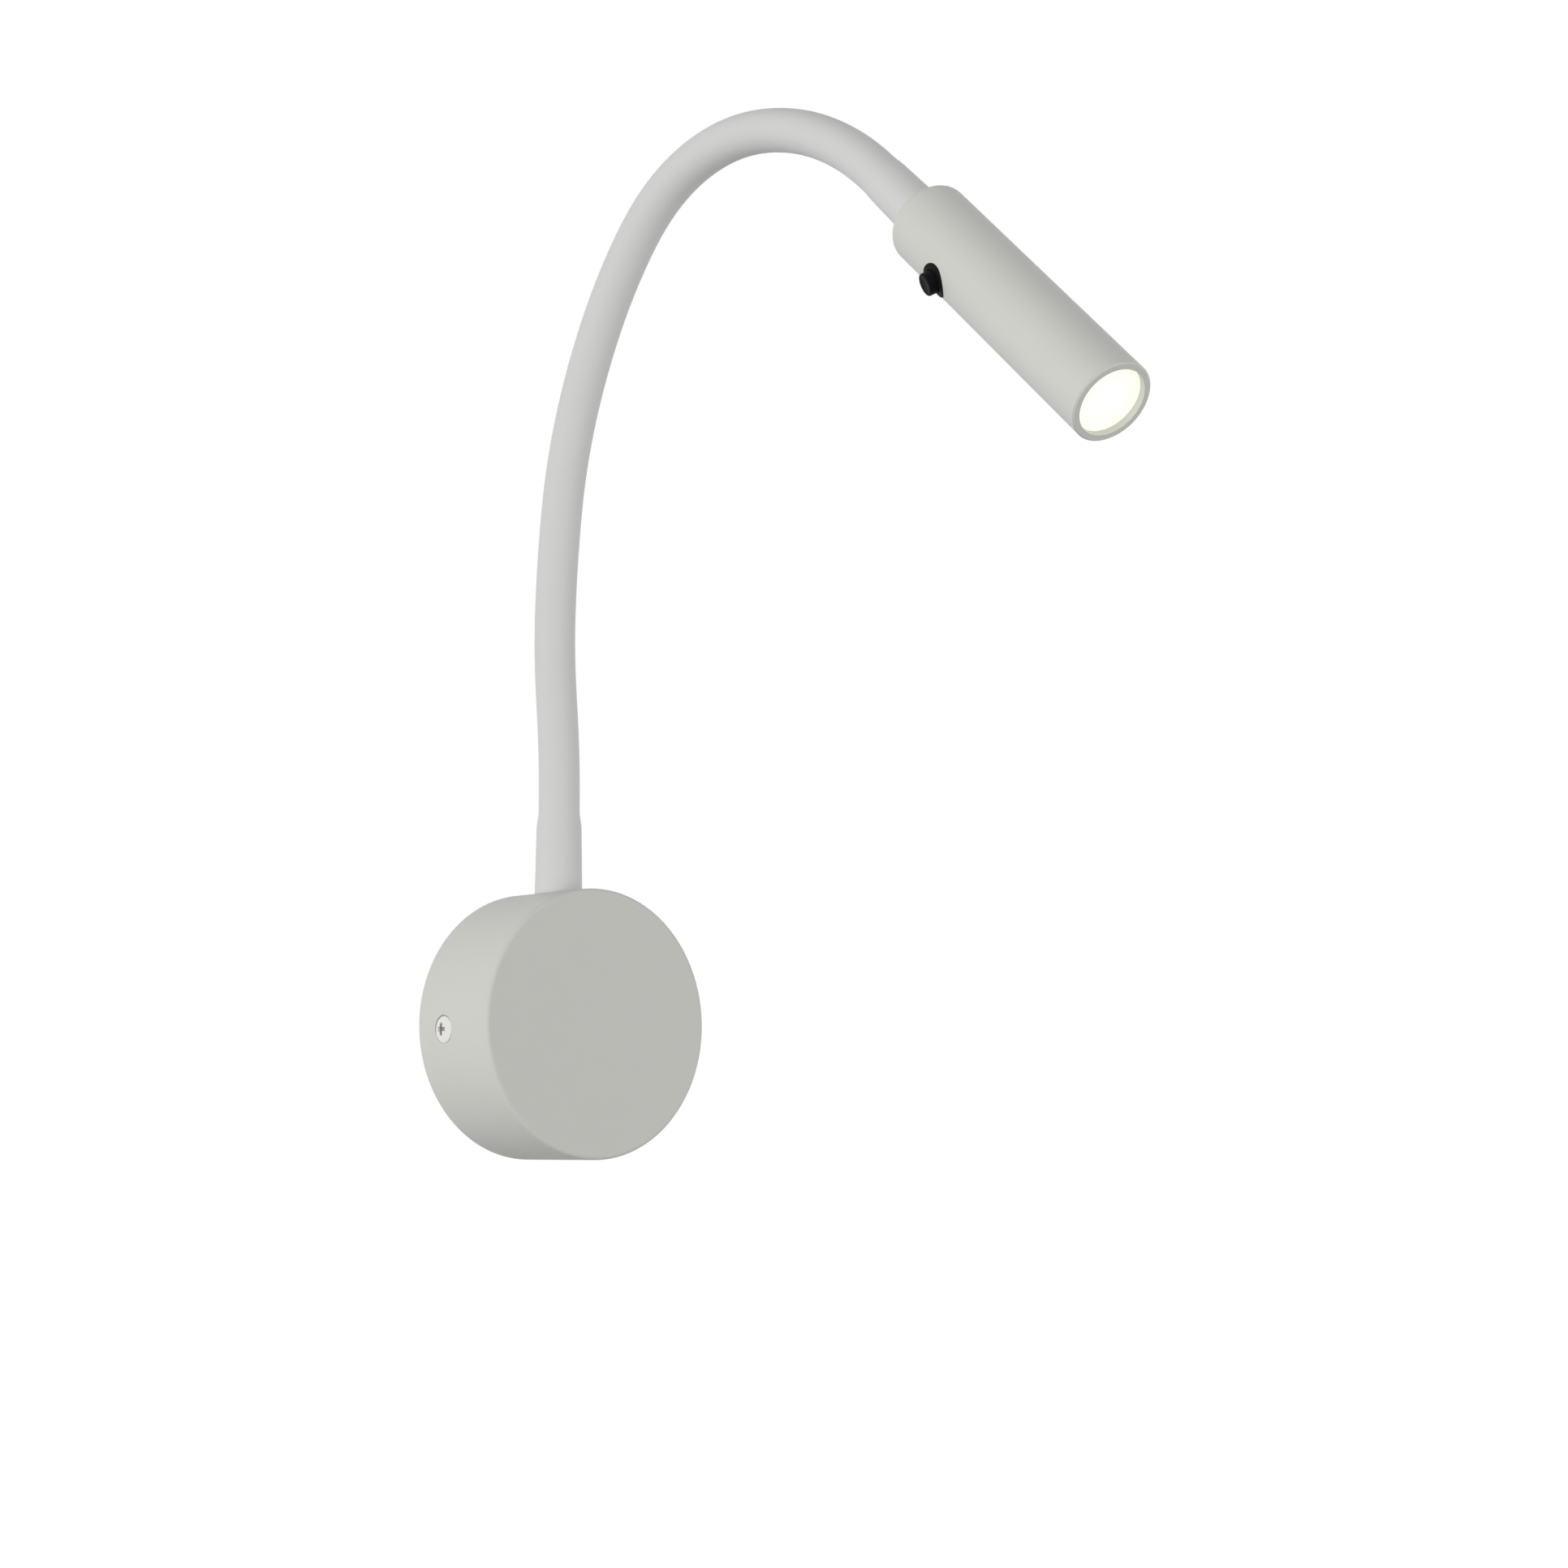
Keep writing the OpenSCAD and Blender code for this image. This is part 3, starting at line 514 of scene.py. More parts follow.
def ease(t: np.ndarray) -> np.ndarray:
    """Steps smoothly from 0 to 1 as t does: t t (3 - 2 t), held outside."""
    c = np.clip(t, 0.0, 1.0)
    return c * c * (3 - 2 * c)


def thread_wave(turns: np.ndarray) -> np.ndarray:
    """Rises from 0 to 1 and falls back once in each turn, as a V thread does: |2 (t mod 1) - 1|."""
    return np.abs(2 * np.mod(turns, 1.0) - 1)


def moved(points: np.ndarray, matrix: Matrix) -> np.ndarray:
    """Carries points from a local frame into the part's frame: turned, then shifted, in millimetres."""
    m = np.array(matrix)
    return points @ m[:3, :3].T + m[:3, 3]


def wire_route(points: Sequence[Point], steps: int) -> np.ndarray:
    """Runs straight from a wire's first point to its second, and smoothly through the others.

    The smooth part is made of cubic pieces, whose slope at a point is the mean of its neighbours'.

    Args:
        points: The given points of the route.
        steps: Number of steps between two points.

    Returns:
        Rows of coordinates.
    """
    start, p = np.split(np.array(points, float), [1])
    p = np.vstack([p[:1], p, p[-1:]])
    t = (np.arange(steps) / steps)[:, None]
    p0, p1, p2, p3 = (p[i:len(p) - 3 + i, None] for i in range(4))
    bend, twist = 2 * p0 - 5 * p1 + 4 * p2 - p3, 3 * p1 - p0 - 3 * p2 + p3
    spans = 0.5 * (2 * p1 + (p2 - p0) * t + bend * t**2 + twist * t**3)
    return np.vstack([start, spans.reshape(-1, 3), p[-1:]])


def capped(rings: np.ndarray) -> np.ndarray:
    """Draws a tube in to a point at both ends: adds a row at the middle of its first and last rings."""
    first, last = (np.repeat(ring.mean(axis=0)[None, None], len(ring), axis=1) for ring in rings[[0, -1]])
    return np.concatenate([first, rings, last])


def tube(route: np.ndarray, radius: float, columns: int) -> np.ndarray:
    """Carries a circle along a route, square to it: p + r (cos a S + sin a T), with S square to Y.

    Args:
        route: Rows of coordinates.
        radius: Radius of the tube.
        columns: Number of points round the tube.

    Returns:
        Array of rows, columns and coordinates, with a closing row at each end.
    """
    along = np.gradient(route, axis=0)
    along /= np.linalg.norm(along, axis=1, keepdims=True)
    side = np.cross(np.array([0.0, 1.0, 0.0]), along)
    side /= np.linalg.norm(side, axis=1, keepdims=True)
    other = np.cross(along, side)
    a = ring_angles(columns)[:, None]
    out = np.cos(a) * side[:, None] + np.sin(a) * other[:, None]
    return capped(route[:, None] + radius * out)


@dataclass
class NeckLine:
    """Middle line of the neck, worked out from the frame's joints.

    Attributes:
        joints: Places of the neck's joints, in millimetres.
        headings: Direction of the neck at each joint, in degrees: 0 is up and 90 is out from the wall.
        step: Length of one link along the line.
        reach: Length along which the soft pieces even out a change of bend.
        sample: Distance between the points that the line is worked out at.
        past: How far the line runs on past its first and last joints.
    """

    joints: np.ndarray
    headings: np.ndarray
    step: float
    reach: float = 12.0
    sample: float = 0.05
    past: float = 90.0

    @classmethod
    def from_joints(cls, joints: Sequence[dict]) -> "NeckLine":
        """Reads the line off the joints: each link is an arc, and its chord's heading its ends' mean.

        Args:
            joints: The frame's joints.

        Returns:
            The line.
        """
        places = np.array([j["pos_m"] for j in joints if j["name"].startswith("neck_")]) / MM
        chord = np.diff(places, axis=0)
        slopes = np.degrees(np.arctan2(-chord[:, 1], chord[:, 2]))
        headings = [0.0]
        for slope in slopes:
            headings.append(2 * slope - headings[-1])
        half = np.radians(np.diff(headings)) / 2
        lengths = np.linalg.norm(chord, axis=1) * half / np.sin(half)
        return cls(places, np.array(headings), float(lengths.mean()))

    def __post_init__(self) -> None:
        """Integrates the bend along the line, evened out over its reach, and takes the drift off again."""
        self.length = self.step * (len(self.joints) - 1)
        u = np.arange(-self.past, self.length + self.past, self.sample)
        knots = np.arange(len(self.joints)) * self.step
        heading = np.interp(u, knots, self.headings)
        window = np.ones(int(self.reach / self.sample))
        window = np.convolve(window, window) / window.sum() ** 2
        pad = len(window) // 2
        heading = np.convolve(np.pad(heading, pad, mode="edge"), window, mode="valid")[:len(u)]
        h = np.radians(heading)
        path = np.cumsum(np.stack([0 * h, -np.sin(h), np.cos(h)], axis=1), axis=0) * self.sample
        at = [np.array([np.interp(k, u, path[:, i]) for i in range(3)]) for k in (0.0, self.length)]
        start, end = self.joints[0] - at[0], self.joints[-1] - at[1]
        share = ease(u / self.length)[:, None]
        self.table_u, self.table_h = u, heading
        self.table_p = path + start * (1 - share) + end * share

    def place(self, u: np.ndarray) -> tuple[np.ndarray, np.ndarray]:
        """Finds the line's points, and its headings in degrees, at lengths past the first joint."""
        points = np.stack([np.interp(u, self.table_u, self.table_p[:, i]) for i in range(3)], axis=-1)
        return points, np.interp(u, self.table_u, self.table_h)

    def rings(self, u: np.ndarray, radius: np.ndarray, columns: int) -> np.ndarray:
        """Sets circles square on the line: p + r (cos a X + sin a N), with N in the plane of its bend.

        Args:
            u: Lengths past the first joint.
            radius: Radius of each circle.
            columns: Number of points on a circle.

        Returns:
            Array of rows, columns and coordinates.
        """
        points, heading = self.place(u)
        h, a = np.radians(heading)[:, None], ring_angles(columns)
        across = np.stack([np.cos(a) + 0 * h, np.sin(a) * np.cos(h), np.sin(a) * np.sin(h)], axis=-1)
        return points[:, None] + radius[:, None, None] * across

    def head_frame(self, tip: float) -> Matrix:
        """Gives the head's frame, whose Z axis runs along the head from its rear.

        Args:
            tip: Length of the neck past its last joint.

        Returns:
            The frame, in millimetres.
        """
        heading = math.radians(self.headings[-1])
        along = Vector((0.0, -math.sin(heading), math.cos(heading)))
        return Matrix.Translation(Vector(self.joints[-1]) + tip * along) @ Matrix.Rotation(heading, 4, "X")


@dataclass
class SubAssembly:
    """Pieces that belong together.

    Attributes:
        pieces: What has been built so far.
    """

    pieces: list[Piece] = field(default_factory=list, init=False)

    def keep(self, piece: Piece, slot: str, node: str, body: str = "") -> Piece:
        """Notes a new piece, hides the solid that it stands for and hangs it on the body that it rides on.

        Args:
            piece: The new piece.
            slot: The record's slot of its finish. Not used.
            node: Name of the solid that it replaces.
            body: Name of the body that it rides on, or nothing to leave it on no body.

        Returns:
            The same piece.
        """
        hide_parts(node)
        if body:
            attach(piece, body)
        self.pieces.append(piece)
        return piece

    def wear(self, finishes: dict[Finish, Sequence[str]]) -> None:
        """Dresses solids of the frame and the sub-assembly's own pieces.

        Args:
            finishes: The names of the solids and pieces that each finish goes on.
        """
        objects = {**frame["nodes"], **{piece.name: piece for piece in self.pieces}}
        for finish, names in finishes.items():
            material = finish.material()
            for name in names:
                dress(objects[name], material)
                LOG.info("%s wears %s", name, finish.name)

    def build(self) -> None:
        """Builds the sub-assembly's own meshes."""

    def dress(self) -> None:
        """Gives its meshes and solids their finishes."""


SWITCH_TURN = 218.0  # turn of the switch about the head's axis, in degrees
PAINT: Rgb = (0.6, 0.606, 0.567)
NICKEL: Rgb = (0.78, 0.77, 0.74)
STEEL: Rgb = (0.5, 0.51, 0.52)
BLACK: Rgb = (0.005, 0.005, 0.005)
BROWN_JACKET = Finish("brown_jacket", (0.13, 0.05, 0.022), 0.4, swing=0.06, cloud=2.0)
BLUE_JACKET = Finish("blue_jacket", (0.03, 0.1, 0.34), 0.4, swing=0.06, cloud=2.0)


@dataclass(frozen=True)
class PanScrew:
    """Pan head screw with a cross recess and a V thread, its head's seat at Z = 0.

    Attributes:
        rim_h: Height of the head at its rim.
        rim_start: Angle at which the rim's rounding begins, in degrees from the outward direction.
        edge: Width of the rim's rounding.
        arm: Half length of the recess.
        slot: Half width of the recess.
        depth: Depth of the recess.
        wall: Width over which the recess's side walls fall. Its end walls take twice as much.
        lines: Numbers of the top's grid lines within a slot, along an arm and out to the rim.
        shank: Length of the shank.
        pitch: Rise of the thread in one turn.
        cut: Depth of the thread.
        tip_share: Share of the thread's depth that is left at the tip.
        crease: Angle in degrees past which its edges stay sharp.
    """

    head_r: float = 4.0
    head_h: float = 1.6
    rim_h: float = 0.6
    rim_start: float = 75.0
    edge: float = 0.3
    arm: float = 1.7
    slot: float = 0.5
    depth: float = 0.9
    wall: float = 0.2
    lines: tuple[int, int, int] = (4, 6, 8)
    shank_r: float = 2.0
    shank: float = 6.0
    pitch: float = 0.7
    cut: float = 0.35
    thread_steps: int = 8
    tip_share: float = 0.15
    crease: float = 40.0

    def recess(self, x: np.ndarray, y: np.ndarray) -> np.ndarray:
        """Gives the share of the recess's depth: the deeper of two crossing slots with sloping walls.

        Each slot falls off evenly across its walls, at its sides and at its ends.

        Args:
            x: Places across the head.
            y: Places across the head, square to x.

        Returns:
            The share at each place, 0 on the crown.
        """
        across, along = np.abs([[x, y], [y, x]])
        sides = (self.slot + self.wall / 2 - across) / self.wall
        ends = (self.arm + self.wall - along) / (2 * self.wall)
        return (np.clip(sides, 0.0, 1.0) * np.clip(ends, 0.0, 1.0)).max(axis=0)

    def top(self) -> tuple[np.ndarray, np.ndarray]:
        """Draws a square grid out to a disc, and sinks the recess into its crowned face.

        The grid's lines lie on the recess's edges. Towards the rim a point p is scaled by
        max(|x|, |y|) / |p|, which turns the square into a circle.

        Returns:
            The points, and the share of the recess's depth at each of them.
        """
        half, reach = self.wall / 2, self.head_r - self.edge
        inside, along, outside = self.lines
        lines = np.concatenate([
            np.linspace(0.0, self.slot - half, inside),
            np.linspace(self.slot + half, self.arm - self.wall, along),
            np.linspace(self.arm + self.wall, reach, outside),
        ])
        x, y = np.meshgrid(*2 * [np.concatenate([-lines[:0:-1], lines])])
        sunk = self.recess(x, y)
        square, away = np.maximum(np.abs(x), np.abs(y)), np.maximum(np.hypot(x, y), NEAR_ZERO)
        pull = ease((square - self.arm) / (reach - self.arm))
        scale = 1 - pull + pull * square / away
        x, y = x * scale, y * scale
        rise = self.head_h - self.rim_h
        crown = (self.head_r**2 + rise**2) / (2 * rise)
        z = self.head_h - crown + np.sqrt(crown**2 - x**2 - y**2) - self.depth * sunk
        return np.stack([x, y, z], axis=-1), sunk

    def grids(self, place: Matrix) -> tuple[list[Grid], np.ndarray]:
        """Builds the head's top, then carries its edge round the rim and down the thread to the tip.

        The thread's radius is r - cut + cut w f, where w is |2 (z / pitch - a / 2 pi mod 1) - 1| and f
        draws it in at both ends.

        Args:
            place: Frame of the screw's seat, in millimetres.

        Returns:
            The grids, and the share of painted shade in the recess at each of their points.
        """
        sheet, sunk = self.top()
        loop = np.concatenate([sheet[0, :-1], sheet[:-1, -1], sheet[-1, :0:-1], sheet[:0:-1, 0]])
        angle = np.arctan2(loop[:, 1], loop[:, 0])
        rim = arc((self.head_r - self.edge, self.rim_h - self.edge), self.edge, self.rim_start, 0.0)
        rim = np.vstack([rim, [(self.head_r, 0.0), (self.shank_r + self.edge, 0.0)]])
        z = -np.linspace(0.0, self.shank, int(self.thread_steps * self.shank / self.pitch))[:, None]
        fade = np.clip(-z / self.pitch, 0.0, 1.0)
        fade *= np.clip((z + self.shank) / self.pitch, self.tip_share, 1.0)
        wave = thread_wave(z / self.pitch - angle / (2 * np.pi))
        r = self.shank_r - self.cut + self.cut * wave * fade
        r = np.vstack([rim[:, :1] + 0 * angle, r, 0 * angle[None]])
        z = np.vstack([rim[:, 1:], z, [[-self.shank]]]) + 0 * angle
        turned = np.stack([r * np.cos(angle), r * np.sin(angle), z], axis=-1)
        grids = [Grid(moved(sheet, place), ring=False), Grid(moved(np.vstack([loop[None], turned]), place))]
        return grids, np.concatenate([sunk.ravel(), np.zeros(grids[1].points[..., 0].size)])


@dataclass
class WallBase(SubAssembly):
    """Canopy, wall plate and what they hold.

    Attributes:
        screw: The canopy's side screws.
        screw_depth: Distance of their axis from the wall.
        screw_drop: Distance of their axis below the canopy's middle.
        bulge: How far the pad's squeezed edge swells.
        pull: How far the pad's sides pull in between its corners.
        pad_power: Power of the pad's outline, which sets how square its corners are.
        squeeze: Share of the solid's thickness that is left to the pad.
        bare: Length of the feed wires' bare strands.
        bevel: Bevel of the jackets' and the strands' cut edges.
    """

    screw: PanScrew = field(default_factory=PanScrew)
    screw_depth: float = 12.5
    screw_drop: float = 2.0
    bulge: float = 0.35
    pull: float = 0.3
    pad_power: float = 12.0
    squeeze: float = 0.98
    pad_rows: int = 13
    pad_columns: int = 192
    feed_r: float = 1.0
    strand_r: float = 0.7
    bare: float = 3.0
    bevel: float = 0.1
    feed_columns: int = 24

    def build_screws(self) -> None:
        """Sets a screw into each side of the canopy, as far out as the frame's own."""
        seat = box_mm("canopy_screws")[1][0] - self.screw.head_h
        axis = Matrix.Translation((0.0, -self.screw_depth, -self.screw_drop))
        for name, side in (("left", -1), ("right", 1)):
            turn = Matrix.Rotation(QUARTER_TURN * side, 4, "Y")
            grids, recess_shade = self.screw.grids(axis @ turn @ Matrix.Translation((0.0, 0.0, seat)))
            piece = make_piece(f"{name}_screw", grids, self.screw.crease, recess_shade)
            self.keep(piece, "screw_nickel", "canopy_screws", "base")

    def build_pad(self) -> None:
        """Squeezes a foam pad between the plate and the driver.

        Its outline is |x / w|^p + |z / h|^p = 1, drawn in along the sides, and its edge swells as
        1 - t^2 from one face (t = -1) to the other (t = 1).
        """
        low, high = box_mm("driver_pad")
        middle, half = (low + high) / 2, (high - low) / 2
        a = ring_angles(self.pad_columns)
        corner = np.stack([np.cos(a), np.sin(a)], axis=-1)
        outline = np.sign(corner) * np.abs(corner) ** (2 / self.pad_power)
        pulled = half[[0, 2]] - self.pull * (1 - outline[:, ::-1] ** 2) - self.bulge
        t = np.linspace(-1.0, 1.0, self.pad_rows)
        swell = np.pad(self.bulge * (1 - t**2), 1)[:, None, None]
        size = np.pad(np.ones(self.pad_rows), 1)[:, None, None]
        flat = outline * (pulled * size + swell)
        depth = np.pad(t, 1, mode="edge")[:, None] * half[1] * self.squeeze + 0 * a
        points = np.stack([flat[..., 0], depth, flat[..., 1]], axis=-1) + middle
        pad = self.keep(make_piece("foam_pad", [Grid(points)]), "foam", "driver_pad", "base")

    def build_feeds(self) -> None:
        """Runs the two feed wires from the driver up into the block, with bare ends inside it."""
        low, high = box_mm("driver_wires")
        foot, strip, end = low[2], high[2] - self.bare, high[2]
        wide, thin, cut = self.feed_r, self.strand_r, self.bevel
        profile = np.array([
            (0.0, foot), (wide, foot), (wide, strip - cut), (wide - cut, strip),
            (thin, strip), (thin, end - cut), (thin - cut, end), (0.0, end),
        ])
        turned = revolve(profile, self.feed_columns)
        for name, x in (("brown", low[0] + self.feed_r), ("blue", high[0] - self.feed_r)):
            shift = np.array([x, (low[1] + high[1]) / 2, 0.0])
            wire = make_piece(f"{name}_feed", [Grid(turned + shift)])
            self.keep(wire, "wire_jacket", "driver_wires", "base")

    def build(self) -> None:
        """Builds the screws, the foam pad and the feed wires."""
        self.build_screws()
        self.build_pad()
        self.build_feeds()

    def dress(self) -> None:
        """Paints the canopy and finishes the metal, plastic and foam behind it."""
        self.wear({
            Finish("canopy_paint", PAINT, 0.58, swing=0.012, depth=0.006, grain=0.5,
                   specular=0.3): ["canopy"],
            Finish("zinc_sheet", (0.62, 0.64, 0.66), 0.38, metallic=1.0, swing=0.12, cloud=4.0,
                   gloss_swing=0.1, grain=1.6, depth=0.003, pattern=Pattern.CELLS): ["wall_plate"],
            Finish("driver_case", (0.8, 0.8, 0.77), 0.48, swing=0.03, depth=0.01,
                   grain=0.3): ["led_driver"],
            Finish("terminal_block", (0.83, 0.83, 0.82), 0.35): ["terminal_block"],
            Finish("terminal_brass", (0.78, 0.6, 0.28), 0.28, metallic=1.0, swing=0.08,
                   cloud=2.0): ["terminal_screws"],
            Finish("fitting_nickel", NICKEL, 0.3, metallic=1.0, swing=0.04, grain=0.25,
                   pattern=Pattern.RINGS): ["neck_nut", "neck_washer", "lower_ferrule"],
            # The screws' cross recesses get painted shade, darkened in colour.
            RecessShadeFinish("screw_nickel", NICKEL, 0.26, metallic=1.0, swing=0.05, cloud=1.5, depth=0.003,
                         grain=0.3): ["left_screw", "right_screw"],
            Finish("foam_tape", (0.05, 0.05, 0.055), 0.9, swing=0.3, cloud=1.0, depth=0.15, grain=0.5,
                   pattern=Pattern.CELLS): ["foam_pad"],
            BROWN_JACKET: ["brown_feed"],
            BLUE_JACKET: ["blue_feed"],
        })


@dataclass
class Neck(SubAssembly):
    """Soft sleeve with a collar at each end, lead, and steel core with a crimped barrel at each end.

    Attributes:
        line: The neck's middle line.
        root: Straight length below the first joint.
        tip: Straight length past the last joint.
        flange: Thickness of the lower fitting's flange, which the sleeve begins on.
        draft: How much a collar narrows along its length.
        taper: Length over which a collar eases down to the sleeve.
        lip: Rounding of the sleeve's ends.
        skin_gap: Gap between the core and the sleeve.
        spacing: Distance between the sleeve's rows.
        lead_below: How far the lead reaches below the root.
        lead_past: How far it reaches into the head.
        lead_spacing: Distance between the lead's rows.
        blend_inset: How far inside a stretch's ends its bend lies.
        root_bend: How far below the first joint the bend begins.
        tip_bend: How far past the last joint the bend ends.
        from_above: The joint whose stretch names its upper body first; the bend is the same either way. Not
            used.
    """

    line: NeckLine
    root: float = 33.0
    tip: float = 25.5
    flange: float = 1.2
    sleeve_r: float = 6.2
    root_collar_r: float = 7.2
    root_collar_len: float = 22.0
    tip_collar_r: float = 6.9
    tip_collar_len: float = 19.5
    draft: float = 0.4
    taper: float = 5.5
    lip: float = 0.5
    lip_rows: int = 7
    core_r: float = 4.4
    barrel_r: float = 5.6
    barrel_len: float = 20.0
    skin_gap: float = 0.35
    columns: int = 64
    spacing: float = 0.7
    lead_r: float = 2.1
    lead_below: float = 34.0
    lead_past: float = 12.0
    lead_columns: int = 24
    lead_spacing: float = 1.4
    blend_inset: float = 2.0
    root_bend: float = 11.0
    tip_bend: float = 5.5
    from_above: int = 6

    @property
    def start(self) -> float:
        """Length at which the sleeve begins, on the lower fitting's flange."""
        return self.flange - self.root

    @property
    def stop(self) -> float:
        """Length at which the sleeve ends, on the head."""
        return self.line.length + self.tip

    def end_radius(self, away: np.ndarray, collar_r: float, collar_len: float) -> np.ndarray:
        """Narrows along a collar and eases down to the sleeve: thick - (thick - r) ease, less a round lip.

        Args:
            away: Distances from the end.
            collar_r: Radius at the end.
            collar_len: Length of the collar.

        Returns:
            The outside radius at each distance.
        """
        thick = collar_r - self.draft * np.clip(away / collar_len, 0.0, 1.0)
        short = np.clip(1 - away / self.lip, 0.0, 1.0)
        lip = self.lip * (1 - np.sqrt(1 - short**2))
        return thick - (thick - self.sleeve_r) * ease((away - collar_len) / self.taper) - lip

    def sleeve_radius(self, u: np.ndarray) -> np.ndarray:
        """Takes the thicker of what the two ends ask for.

        Args:
            u: Lengths past the first joint.

        Returns:
            The outside radius at each of them.
        """
        root = self.end_radius(u - self.start, self.root_collar_r, self.root_collar_len)
        tip = self.end_radius(self.stop - u, self.tip_collar_r, self.tip_collar_len)
        return np.maximum(root, tip)

    def bore_radius(self, u: np.ndarray) -> np.ndarray:
        """Follows the crimped barrels at the ends, and eases down to the core between them.

        Args:
            u: Lengths past the first joint.

        Returns:
            The inside radius at each of them.
        """
        end = np.minimum(u - self.start, self.stop - u)
        over = self.barrel_r + self.skin_gap / 2
        return over - (over - self.core_r - self.skin_gap) * ease(end - (self.barrel_len - self.flange))

    def stretches(self, first: float, last: float) -> list[tuple[float, float]]:
        """Cuts the neck in the middle of each link, so that each stretch goes over one joint.

        Args:
            first: Length at which the first stretch begins.
            last: Length at which the last stretch ends.

        Returns:
            Both ends of each stretch.
        """
        middles = (np.arange(len(self.line.joints) - 1) + 0.5) * self.line.step
        cuts = [first, *middles.tolist(), last]
        return list(zip(cuts[:-1], cuts[1:]))

    def stations(self, low: float, high: float) -> np.ndarray:
        """Spaces lengths over a stretch of the sleeve, closer together at its rounded ends.

        Args:
            low: Where the stretch begins.
            high: Where it ends.

        Returns:
            The lengths in order.
        """
        even = np.linspace(low, high, int(round((high - low) / self.spacing)) + 1)
        near = self.lip * (1 - np.cos(np.linspace(0.0, QUARTER_TURN, self.lip_rows)))
        both = np.concatenate([even, self.start + near, self.stop - near])
        return np.unique(np.round(both[(both >= low) & (both <= high)], SAME_DIGITS))

    def bend(self, piece: Piece, joint: int) -> None:
        """Works out the line's points where the bend about a stretch's joint begins and ends, and bakes the
        stretch's transform into its mesh.

        Args:
            piece: The stretch.
            joint: Number of the joint, from 0.
        """
        last = len(self.line.joints) - 1
        half = self.line.step / 2 - self.blend_inset
        below = self.root_bend if joint == 0 else half
        above = self.tip_bend if joint == last else half
        ends, _ = self.line.place(np.array([-below, above]) + joint * self.line.step)
        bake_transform(piece)

    def mark_straight(self, piece: Piece, u: np.ndarray, radius: np.ndarray) -> None:
        """Stores each point's place on the straightened neck, which the finish reads.

        Args:
            piece: The stretch, with its points in the order of its grid.
            u: Length of each row.
            radius: Radius of each row.
        """
        place = revolve(np.column_stack([radius, u]), self.columns) * MM
        layer = piece.data.attributes.new(STRAIGHT, "FLOAT_VECTOR", "POINT")
        layer.data.foreach_set("vector", place.astype(np.float32).ravel())

    def build_sleeve(self) -> None:
        """Builds the sleeve, one stretch for each joint: out along its skin and back along its bore."""
        for joint, (low, high) in enumerate(self.stretches(self.start, self.stop)):
            u = self.stations(low, high)
            radius = np.concatenate([self.sleeve_radius(u), self.bore_radius(u[::-1])])
            u = np.concatenate([u, u[::-1]])
            skin = Grid(self.line.rings(u, radius, self.columns), loop=True)
            piece = make_piece(f"sleeve_{joint + 1}", [skin])
            self.mark_straight(piece, u, radius)
            self.bend(self.keep(piece, "sleeve_silicone", "neck_sleeve"), joint)

    def build_lead(self) -> None:
        """Builds the lead, one stretch for each joint, closed by a point at both ends."""
        ends = -self.root - self.lead_below, self.stop + self.lead_past
        for joint, (low, high) in enumerate(self.stretches(*ends)):
            u = np.linspace(low, high, int((high - low) / self.lead_spacing) + 1)
            radius = np.pad(np.full(len(u), self.lead_r), 1)
            rings = self.line.rings(np.pad(u, 1, mode="edge"), radius, self.lead_columns)
            piece = make_piece(f"lead_{joint + 1}", [Grid(rings)])
            self.bend(self.keep(piece, "lead_jacket", "neck_lead"), joint)

    def build(self) -> None:
        """Builds the sleeve and the lead."""
        self.build_sleeve()
        self.build_lead()

    def dress(self) -> None:
        """Gives the sleeve its matt skin, the lead its jacket and the core its bare steel."""
        numbers = range(1, len(self.line.joints) + 1)
        links = [f"core_link_{k}" for k in numbers[:-1]]
        self.wear({
            SoftFinish("sleeve_skin", (0.63, 0.635, 0.62), 0.62, swing=0.012, cloud=14.0, gloss_swing=0.04,
                       depth=0.003, grain=0.22, specular=0.3,
                       place=Place.NECK): [f"sleeve_{k}" for k in numbers],
            SoftFinish("lead_jacket", (0.8, 0.8, 0.79), 0.5, cloud=5.0): [f"lead_{k}" for k in numbers],
            Finish("core_steel", STEEL, 0.34, metallic=1.0, swing=0.1, cloud=3.0, gloss_swing=0.1,
                   depth=0.003, grain=0.2): ["core_root", *links, "core_tip"],
        })


